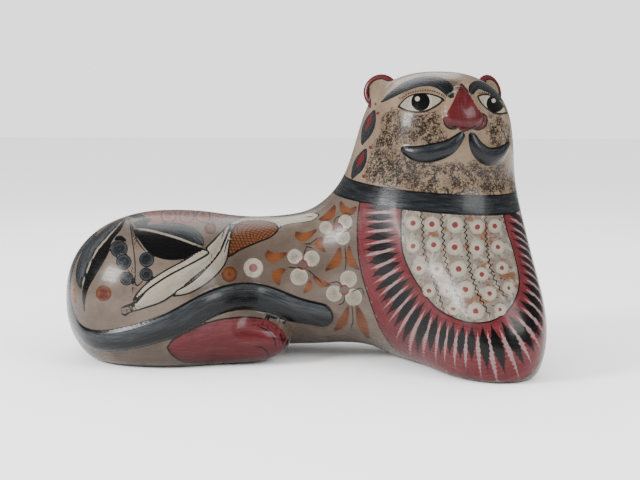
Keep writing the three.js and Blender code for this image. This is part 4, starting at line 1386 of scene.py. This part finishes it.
def spaced_strokes_group():
    """Tapered strokes set side by side: the count runs along the row, and the share runs across."""
    tree, nodes, given, out = new_group(
        "Spaced strokes",
        (("Count", NUMBER, 0.0), ("Across", NUMBER, 0.0), ("Offset", NUMBER, 0.0), ("Width", NUMBER, 0.3),
         ("Start", NUMBER, 0.1), ("Widest", NUMBER, 0.4), ("End", NUMBER, 0.9)),
        (("Mask", NUMBER),))
    count = nodes.maths("ADD", given["Count"], given["Offset"])
    whole = nodes.maths("FLOOR", count)
    jitter = nodes.add("ShaderNodeTexWhiteNoise", {"W": whole}, noise_dimensions="1D").outputs["Value"]
    position = nodes.maths("SUBTRACT", nodes.maths("SUBTRACT", count, whole), 0.5)
    position = nodes.maths("ADD", position, nodes.maths("MULTIPLY_ADD", jitter, 0.12, -0.06))
    gap = nodes.maths("ABSOLUTE", position)
    end = nodes.maths("MULTIPLY_ADD", jitter, -0.1, given["End"])
    rising = nodes.ramp(given["Across"], given["Start"], given["Widest"])
    falling = nodes.ramp(given["Across"], end, given["Widest"])
    half = nodes.maths("MULTIPLY", nodes.maths("MULTIPLY", rising, falling), given["Width"])
    edge = nodes.maths("SUBTRACT", half, gap)
    nodes.feed(out["Mask"], nodes.ramp(edge, 0.0, 0.05))
    return tree


def burnished_clay_group():
    """The ground: clouds of the fired clay, paler rubbed patches, fine scratches and small pits."""
    tree, nodes, given, out = new_group(
        "Burnished clay",
        (("Place", VECTOR, None), ("Clay", COLOUR, None), ("Pale clay", COLOUR, None)),
        (("Color", COLOUR), ("Height", NUMBER), ("Roughness", NUMBER)))
    place = given["Place"]
    cloud = nodes.ramp(nodes.noise(place, 17.0, 5.0, 0.6, 0.4), 0.36, 0.66)
    ground = nodes.blend(cloud, given["Clay"], given["Pale clay"])
    dark = nodes.ramp(nodes.noise(place, 55.0, 6.0, 0.65), 0.35, 0.7, 0.8, 1.08)
    ground = nodes.add("ShaderNodeVectorMath", {0: ground, "Scale": dark}, operation="SCALE").outputs[0]
    stretched = nodes.add("ShaderNodeMapping", {"Vector": place, "Scale": (70.0, 260.0, 900.0)}).outputs[0]
    rubbed = nodes.noise(stretched, 1.0, 3.0, 0.6)
    specks = nodes.ramp(nodes.noise(place, 950.0, 2.0, 0.6), 0.7, 0.78)
    ground = nodes.blend(nodes.maths("MULTIPLY", specks, 0.3), ground, (0.06, 0.045, 0.04))
    nodes.feed(out["Color"], ground)
    bumps = nodes.maths("MULTIPLY", nodes.noise(place, 120.0, 4.0, 0.55), 0.6)
    nodes.feed(out["Height"], nodes.maths("MULTIPLY_ADD", rubbed, 0.25, bumps))
    nodes.feed(out["Roughness"], nodes.ramp(rubbed, 0.25, 0.75, 0.22, 0.38))
    return tree


def painted_material(colours):
    """Burnished clay with all its painted layers, from the bottom one up."""
    material = bpy.data.materials.new("Painted burnished clay")
    material.use_nodes = True
    nodes = Nodes(material.node_tree)
    principled = material.node_tree.nodes["Principled BSDF"]
    groups = {
        "shape": painted_shape_group(), "streak": brush_streak_group(), "strokes": spaced_strokes_group(),
        "clay": burnished_clay_group()}

    def group(name, **inputs):
        node = nodes.add("ShaderNodeGroup")
        node.node_tree = groups[name]
        for key, value in inputs.items():
            nodes.feed(node.inputs[key.replace("_", " ")], value)
        return node.outputs

    place = nodes.add("ShaderNodeTexCoord").outputs["Object"]
    wash, orange, cream, wing = nodes.attribute("slips_a")
    rose, slate, black, red = nodes.attribute("slips_b")
    run, side, seed, share = nodes.attribute("brush")
    ink_side, ink_gap, ink_half, tone = nodes.attribute("ink")
    line_side, line_gap, line_half, line_wave = nodes.attribute("lines")
    count, across, field, reach = nodes.attribute("bib")
    lash_count, lash_across, head, stubble = nodes.attribute("fringe")
    pale = nodes.add("ShaderNodeAttribute", attribute_name="pale", attribute_type="GEOMETRY").outputs["Fac"]

    def mask(distance, wander=0.45, softness=0.16):
        return group("shape", Distance=distance, Wander=wander, Softness=softness, Place=place)["Mask"]

    def tint(name):
        return tuple(getattr(colours, name))

    def both(first, second):
        return nodes.maths("MULTIPLY", first, second)

    streak = group("streak", Run=run, Side=side, Seed=seed, Fineness=1.7, Stretch=0.09)["Streak"]
    broad = group("streak", Run=run, Side=side, Seed=seed, Fineness=0.5, Stretch=0.05)["Streak"]
    grain = nodes.noise(place, 260.0, 4.0, 0.7)
    cloud = nodes.noise(place, 45.0, 4.0, 0.6)
    # Lighter and darker sides of each shape's tone; on the tail, moustache and hind foot they are painted
    # highlight and painted shade, on the collar painted shade
    lighter = nodes.maths("MAXIMUM", tone, 0.0)
    darker = nodes.maths("MAXIMUM", both(tone, -1.0), 0.0)

    def worn_and_shaded(dark, middle, light, streaks):
        """A slip's colour: its tone leads from dark to light, and streaks of the light one show. Its tone
        is painted highlight and shade on the tail, moustache and hind foot, and painted shade on the
        collar.
        """
        dry = both(both(streak, broad), streaks)
        toned = both(lighter, nodes.ramp(streak, 0, 1, 0.4, 1))
        # Dry brush streaks plus the tone's lighter side, which on the tail, moustache and hind foot is a
        # painted highlight
        rubbed = nodes.maths("ADD", dry, toned, clamp=True)
        return nodes.blend(both(darker, 0.85), nodes.blend(rubbed, middle, light), dark)

    clay = group("clay", Place=place, Clay=tint("clay"), Pale_clay=tint("clay_pale"))
    face = group("clay", Place=place, Clay=tint("face"), Pale_clay=tint("face_pale"))
    ground = nodes.blend(head, clay["Color"], face["Color"])

    # The bib's field: rubbed cream and strokes of sienna wash, with dark specks
    field_cream = nodes.blend(nodes.ramp(cloud, 0.35, 0.65), tint("clay_pale"), tint("cream_grey"))
    brushed = nodes.add("ShaderNodeMapping", {"Vector": place, "Scale": (260.0, 260.0, 70.0)}).outputs[0]
    upright = both(nodes.ramp(nodes.noise(brushed, 1.0, 3.0, 0.6), 0.5, 0.64), 0.7)
    field_cream = nodes.blend(upright, field_cream, tint("cream"))
    sienna = both(nodes.ramp(nodes.noise(place, 95.0, 4.0, 0.6, 0.8), 0.53, 0.64), 0.75)
    field_colour = nodes.blend(sienna, field_cream, tint("orange"))
    dots = nodes.ramp(nodes.noise(place, 620.0, 1.0, 0.5), 0.67, 0.72)
    field_colour = nodes.blend(dots, field_colour, tint("ink"))
    ground = nodes.blend(nodes.ramp(field, 0.0, 0.12, 0.0, 0.9), ground, field_colour)

    # Stippled cheeks and chin: dabs of dry black in clumps
    dabs = nodes.noise(place, 780.0, 3.0, 0.7, 0.8)
    clumps = nodes.noise(place, 150.0, 3.0, 0.6, 0.6)
    level = nodes.maths("MULTIPLY_ADD", both(stubble, nodes.ramp(clumps, 0.26, 0.56)), -0.3, 0.74)
    stipple = nodes.ramp(nodes.maths("SUBTRACT", dabs, level), 0.0, 0.04)
    curls = nodes.maths("SUBTRACT", nodes.noise(place, 300.0, 2.0, 0.6, 1.5), 0.5)
    scribble = nodes.maths("ABSOLUTE", curls)
    scribble = both(nodes.ramp(scribble, 0.055, 0.025), nodes.ramp(both(stubble, clumps), 0.2, 0.36))
    stipple = nodes.maths("MAXIMUM", stipple, both(scribble, 0.9))
    ground = nodes.blend(both(both(stipple, nodes.ramp(stubble, 0.0, 0.25)), 0.92), ground, tint("ink"))

    # Peach wash and sienna strokes, which are darker at their ends
    wash_colour = nodes.blend(both(streak, 0.5), tint("wash"), tint("rose_pale"))
    colour = nodes.blend(both(mask(wash), 0.85), ground, wash_colour)
    tips = nodes.maths("MAXIMUM", nodes.ramp(share, 0.4, 0.0), nodes.ramp(share, 0.55, 1.0))
    sienna_dark = nodes.maths("ADD", both(tips, 0.85), nodes.ramp(cloud, 0.45, 0.7, 0.0, 0.35), clamp=True)
    orange_colour = nodes.blend(sienna_dark, tint("orange"), tint("rust"))
    orange_cover = both(mask(orange), nodes.ramp(streak, 0.0, 1.0, 0.78, 0.97))
    colour = nodes.blend(orange_cover, colour, orange_colour)

    # Cream: thin where the brush ran dry, so that the clay shows through
    wet = nodes.maths("MULTIPLY_ADD", streak, 0.55, both(grain, 0.45))
    cream_cover = nodes.ramp(nodes.maths("MULTIPLY_ADD", tone, 0.12, wet), 0.15, 0.55, 0.5, 0.96)
    cream_cover = both(cream_cover, nodes.maths("MULTIPLY_ADD", darker, -0.3, 1.0))
    cream_colour = nodes.blend(both(darker, 0.9), tint("cream"), tint("cream_grey"))
    colour = nodes.blend(both(mask(cream, 0.6), cream_cover), colour, cream_colour)

    # The wing: sienna with crossed ink lines
    def slanted_lines(sign):
        wave = nodes.maths("SINE", both(nodes.maths(sign, run, side), 0.75))
        return nodes.ramp(nodes.maths("ABSOLUTE", wave), 0.5, 0.25)

    hatch = nodes.maths("MAXIMUM", slanted_lines("ADD"), slanted_lines("SUBTRACT"))
    wing_colour = nodes.blend(nodes.ramp(cloud, 0.35, 0.65), tint("orange"), tint("ochre"))
    wing_colour = nodes.blend(both(hatch, 0.9), wing_colour, tint("umber"))
    colour = nodes.blend(mask(wing), colour, wing_colour)

    # Rose slip with rubbed streaks and, on the hind foot, painted highlight and shade, and the bib border's
    # black and pale spikes
    rose_colour = worn_and_shaded(tint("rose_dark"), tint("rose"), tint("rose_pale"), 0.5)
    rose_colour = nodes.blend(nodes.ramp(cloud, 0.52, 0.75, 0.0, 0.6), rose_colour, tint("rose_dark"))
    rose_mask = mask(rose)
    colour = nodes.blend(rose_mask, colour, rose_colour)
    spike_count = nodes.maths("ADD", count, nodes.maths("MULTIPLY_ADD", grain, 0.06, -0.03))
    in_border = both(rose_mask, nodes.ramp(across, 0.0, 0.02))
    pale_spikes = group(
        "strokes", Count=spike_count, Across=across, Offset=0.5, Width=0.19, Start=0.05,
        Widest=0.4, End=1.0)["Mask"]
    pale_share = both(both(in_border, pale_spikes), nodes.ramp(streak, 0.0, 1.0, 0.6, 0.95))
    colour = nodes.blend(pale_share, colour, tint("spike_pale"))
    reached = nodes.maths("DIVIDE", across, reach)
    dark_spikes = group(
        "strokes", Count=spike_count, Across=reached, Offset=0.0, Width=0.4, Start=-0.02,
        Widest=0.42, End=1.0)["Mask"]
    colour = nodes.blend(both(in_border, dark_spikes), colour, tint("ink"))

    # Slate and black slips, with painted highlight and shade on the tail and moustache and painted shade on
    # the collar
    slate_mask = mask(slate)
    slate_colour = worn_and_shaded(tint("ink"), tint("slate"), tint("slate_pale"), 0.5)
    slate_colour = nodes.blend(nodes.ramp(grain, 0.55, 0.75, 0.0, 0.45), slate_colour, tint("ink"))
    colour = nodes.blend(slate_mask, colour, slate_colour)
    black_mask = mask(black)
    colour = nodes.blend(black_mask, colour, nodes.blend(both(streak, 0.2), tint("ink"), tint("slate")))
    red_mask = mask(red, 0.4)
    red_colour = nodes.blend(nodes.ramp(grain, 0.35, 0.7), tint("red"), tint("rose"))
    colour = nodes.blend(both(red_mask, 0.92), colour, red_colour)

    # Lashes and forehead strokes, outlines, ink lines and pale touches
    lashes = group(
        "strokes", Count=lash_count, Across=lash_across, Offset=0.0, Width=0.42, Start=-0.1,
        Widest=0.3, End=1.1)["Mask"]
    colour = nodes.blend(both(lashes, 0.8), colour, tint("ink"))
    uneven = nodes.maths("MULTIPLY_ADD", nodes.noise(place, 300.0, 2.0), 0.5, 0.75)

    def drawn(colour, signed, gap, half):
        """Adds ink where the signed distance to a line is less than the line's half width."""
        beyond = nodes.maths("SUBTRACT", nodes.maths("ABSOLUTE", signed), both(half, uneven))
        ink_mask = both(nodes.ramp(beyond, 0.14, -0.1), nodes.ramp(gap, 2.3, 1.9))
        return nodes.blend(both(ink_mask, 0.95), colour, tint("ink"))

    colour = drawn(colour, ink_side, ink_gap, ink_half)
    swing = nodes.maths("MULTIPLY", nodes.maths("SINE", line_wave), 0.75)
    colour = drawn(colour, nodes.maths("ADD", line_side, swing), line_gap, line_half)
    pale_mask = both(nodes.ramp(pale, 0.2, -0.3), 0.95)
    colour = nodes.blend(pale_mask, colour, tint("cream"))
    nodes.feed(principled.inputs["Base Color"], colour)

    dark_slip = nodes.maths("MAXIMUM", slate_mask, black_mask)
    rough = nodes.maths("MULTIPLY_ADD", dark_slip, -0.04, clay["Roughness"])
    nodes.feed(principled.inputs["Roughness"], rough)
    slip_edge = nodes.maths("MAXIMUM", nodes.maths("MAXIMUM", mask(cream), slate_mask), red_mask)
    height = nodes.maths("MULTIPLY_ADD", both(slip_edge, streak), 0.35, clay["Height"])
    bump = nodes.add("ShaderNodeBump", {"Height": height, "Strength": 0.16, "Distance": 0.0008})
    nodes.feed(principled.inputs["Normal"], bump.outputs[0])
    principled.inputs["Specular IOR Level"].default_value = 0.16
    principled.inputs["Coat Weight"].default_value = 0.1
    principled.inputs["Coat Roughness"].default_value = 0.09
    return material


# Operators


class CAT_OT_painted_figure(bpy.types.Operator):
    """Builds the whole figure as one closed skin with its ears, and paints it"""

    bl_idname = "cat.painted_figure"
    bl_label = "Painted figure"

    def execute(self, context):
        sizes, colours = context.scene.cat_sizes, context.scene.cat_colours
        figure = Figure(sizes)
        flat, raised, (rings, spokes) = skin_points(figure, sizes)
        faces = closed_net(raised[:-2].reshape(rings, spokes, 3), raised[-2], raised[-1])[1]
        skin = mesh_object("painted_cat", raised, faces)
        put_attribute(skin.data, "base", flat)
        for side in EAR_SIDES:
            self.join_ear(context, skin, *ear_net(figure, sizes, side))
        shift = self.settle_place(skin, raised)
        self.paint(figure, sizes, skin.data, shift)
        skin.data.materials.append(painted_material(colours))
        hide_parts(NODE)
        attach(skin, BODY)
        return {"FINISHED"}

    def join_ear(self, context, skin, points, faces):
        """Joins one ear cup to the skin."""
        ear = mesh_object("ear_cup", points, faces)
        put_attribute(ear.data, "base", points)
        modifier = skin.modifiers.new("Join ear", "BOOLEAN")
        modifier.operation = "UNION"
        modifier.solver = "EXACT"
        modifier.object = ear
        evaluated = skin.evaluated_get(context.evaluated_depsgraph_get())
        joined = bpy.data.meshes.new_from_object(evaluated)
        skin.modifiers.clear()
        old = skin.data
        skin.data = joined
        bpy.data.meshes.remove(old)
        bpy.data.objects.remove(ear)

    def settle_place(self, skin, raised):
        """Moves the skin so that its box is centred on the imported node's box, standing on its
        floor. Returns the move in millimetres."""
        low, high = (np.array(corner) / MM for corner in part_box(NODE))
        middle = (low + high) / 2 - (raised.min(axis=0) + raised.max(axis=0)) / 2
        shift = np.array((middle[0], middle[1], low[2]))
        count = len(skin.data.vertices)
        places = np.zeros(count * 3, dtype=np.float32)
        skin.data.vertices.foreach_get("co", places)
        moved = (places.reshape(-1, 3) + shift * MM).astype(np.float32)
        skin.data.vertices.foreach_set("co", moved.ravel())
        skin.data.update()
        return shift

    def paint(self, figure, sizes, mesh, shift):
        """Lays every painted shape on the skin and stores the distances on its vertices."""
        base = get_attribute(mesh, "base", 3).astype(float)
        places = np.zeros(len(mesh.vertices) * 3, dtype=np.float32)
        mesh.vertices.foreach_get("co", places)
        shown = places.reshape(-1, 3) / MM - shift
        missing = np.abs(base).sum(axis=1) < 1e-6
        base[missing] = shown[missing]
        ink = sizes.ink_width / MM
        painter = Painter(figure, base, shown, shift, relief_bands(figure, sizes))
        bib, head = paint_collar_and_bib(painter, ink)
        paint_body(painter, ink)
        paint_face(painter, ink)
        back_of_head(painter, ink)
        paint_ears(painter, sizes, ink)
        layers = painter.layers
        put_attribute(mesh, "slips_a", np.stack([layers[name] for name in LAYERS[:4]], axis=1))
        put_attribute(mesh, "slips_b", np.stack([layers[name] for name in LAYERS[4:]], axis=1))
        put_attribute(mesh, "brush", painter.brush)
        put_attribute(mesh, "ink", np.column_stack((painter.ink, painter.tone)))
        put_attribute(mesh, "lines", painter.lines)
        put_attribute(mesh, "bib", bib)
        fringe = np.column_stack((fringe_chart(painter), head, stubble_field(painter)))
        put_attribute(mesh, "fringe", fringe)
        put_attribute(mesh, "pale", painter.pale)
        mesh.attributes.remove(mesh.attributes["base"])


MIRRORED_SKY = 0.12
BACK_SHARE = 0.3
FLOOR_HALF = 6.0
LIGHTS = (
    ("key", (-1.2, -0.94, 0.85), 0.55, 0.4), ("fill", (1.1, -0.7, 0.8), 0.7, 0.3),
    ("back", (-0.2, 0.9, 0.9), 0.8, 0.0))


class CAT_OT_stage(bpy.types.Operator):
    """Builds the pale floor, the soft lights and the camera"""

    bl_idname = "cat.stage"
    bl_label = "Stage"

    def execute(self, context):
        settings = context.scene.cat_stage
        self.floor(tuple(settings.floor))
        powers = {"key": settings.key, "fill": settings.fill, "back": BACK_SHARE * settings.fill}
        for name, place, size, mirrored in LIGHTS:
            self.light(name, place, size, powers[name], mirrored)
        self.world(context, settings)
        self.camera(context)
        return {"FINISHED"}

    def floor(self, tint):
        """A pale plane a little below the figure's underside."""
        half = FLOOR_HALF
        corners = np.array(((-half, -half, 0), (half, -half, 0), (half, half, 0), (-half, half, 0))) / MM
        plane = mesh_object("floor", corners - (0, 0, 0.2), [(0, 1, 2, 3)])
        material = bpy.data.materials.new("Pale floor")
        material.use_nodes = True
        nodes = Nodes(material.node_tree)
        principled = material.node_tree.nodes["Principled BSDF"]
        place = nodes.add("ShaderNodeTexCoord").outputs["Object"]
        paler = tuple(min(value * 1.03, 1.0) for value in tint)
        nodes.feed(principled.inputs["Base Color"], nodes.blend(nodes.noise(place, 3.0), tint, paler))
        principled.inputs["Roughness"].default_value = 0.85
        plane.data.materials.append(material)

    def world(self, context, settings):
        """Even white light: brighter where the camera sees it, dimmer where the glaze mirrors it."""
        world = bpy.data.worlds.new("Even light")
        context.scene.world = world
        world.use_nodes = True
        nodes = Nodes(world.node_tree)
        path = nodes.add("ShaderNodeLightPath").outputs
        sky = settings.sky
        mirrored = nodes.maths("MULTIPLY_ADD", path["Is Glossy Ray"], sky * (MIRRORED_SKY - 1), sky)
        strength = nodes.maths("MULTIPLY_ADD", path["Is Camera Ray"], settings.backdrop - sky, mirrored)
        background = world.node_tree.nodes["Background"]
        background.inputs["Color"].default_value = (1.0, 1.0, 1.0, 1.0)
        nodes.feed(background.inputs["Strength"], strength)

    def light(self, name, place, size, power, mirrored):
        """A square soft light that looks at the middle of the figure, dimmer in its reflections."""
        data = bpy.data.lights.new(name, "AREA")
        data.specular_factor = mirrored
        data.size = size
        data.energy = power
        lamp = bpy.data.objects.new(name, data)
        bpy.context.scene.collection.objects.link(lamp)
        lamp.location = place
        aim = np.array((0.0, 0.0, 0.1)) - np.array(place)
        tilt = math.atan2(math.hypot(aim[0], aim[1]), -aim[2])
        lamp.rotation_euler = (tilt, 0.0, math.atan2(-aim[0], aim[1]))

    def camera(self, context):
        data = bpy.data.cameras.new("camera")
        data.sensor_width = SENSOR_WIDTH
        data.sensor_fit = "HORIZONTAL"
        data.lens = VIEW_FOCAL * SENSOR_WIDTH / PICTURE_WIDTH
        camera = bpy.data.objects.new("camera", data)
        context.scene.collection.objects.link(camera)
        azimuth, elevation = math.radians(VIEW_AZIMUTH), math.radians(VIEW_ELEVATION)
        camera.location = (np.array(VIEW_TARGET) + VIEW_DISTANCE * view_back()) * MM
        camera.rotation_euler = (math.pi / 2 - elevation, 0.0, azimuth)
        context.scene.camera = camera


class CAT_PT_panel(bpy.types.Panel):
    """Lists the figure's sizes and colours, and the steps that build it"""

    bl_idname = "CAT_PT_panel"
    bl_label = "Painted cat"
    bl_space_type = "VIEW_3D"
    bl_region_type = "UI"
    bl_category = "Painted cat"

    def draw(self, context):
        for settings in (context.scene.cat_sizes, context.scene.cat_colours, context.scene.cat_stage):
            for name in settings.__annotations__:
                self.layout.prop(settings, name)
        for operator in (CAT_OT_painted_figure, CAT_OT_stage):
            self.layout.operator(operator.bl_idname)


CLASSES = (CatSizes, CatColours, StageSettings, CAT_OT_painted_figure, CAT_OT_stage, CAT_PT_panel)


def register():
    for item in CLASSES:
        bpy.utils.register_class(item)
    bpy.types.Scene.cat_sizes = bpy.props.PointerProperty(type=CatSizes)
    bpy.types.Scene.cat_colours = bpy.props.PointerProperty(type=CatColours)
    bpy.types.Scene.cat_stage = bpy.props.PointerProperty(type=StageSettings)


def unregister():
    del bpy.types.Scene.cat_stage
    del bpy.types.Scene.cat_colours
    del bpy.types.Scene.cat_sizes
    for item in reversed(CLASSES):
        bpy.utils.unregister_class(item)


def main():
    register()
    bpy.ops.cat.stage()
    bpy.ops.cat.painted_figure()


if __name__ == "__main__":
    main()
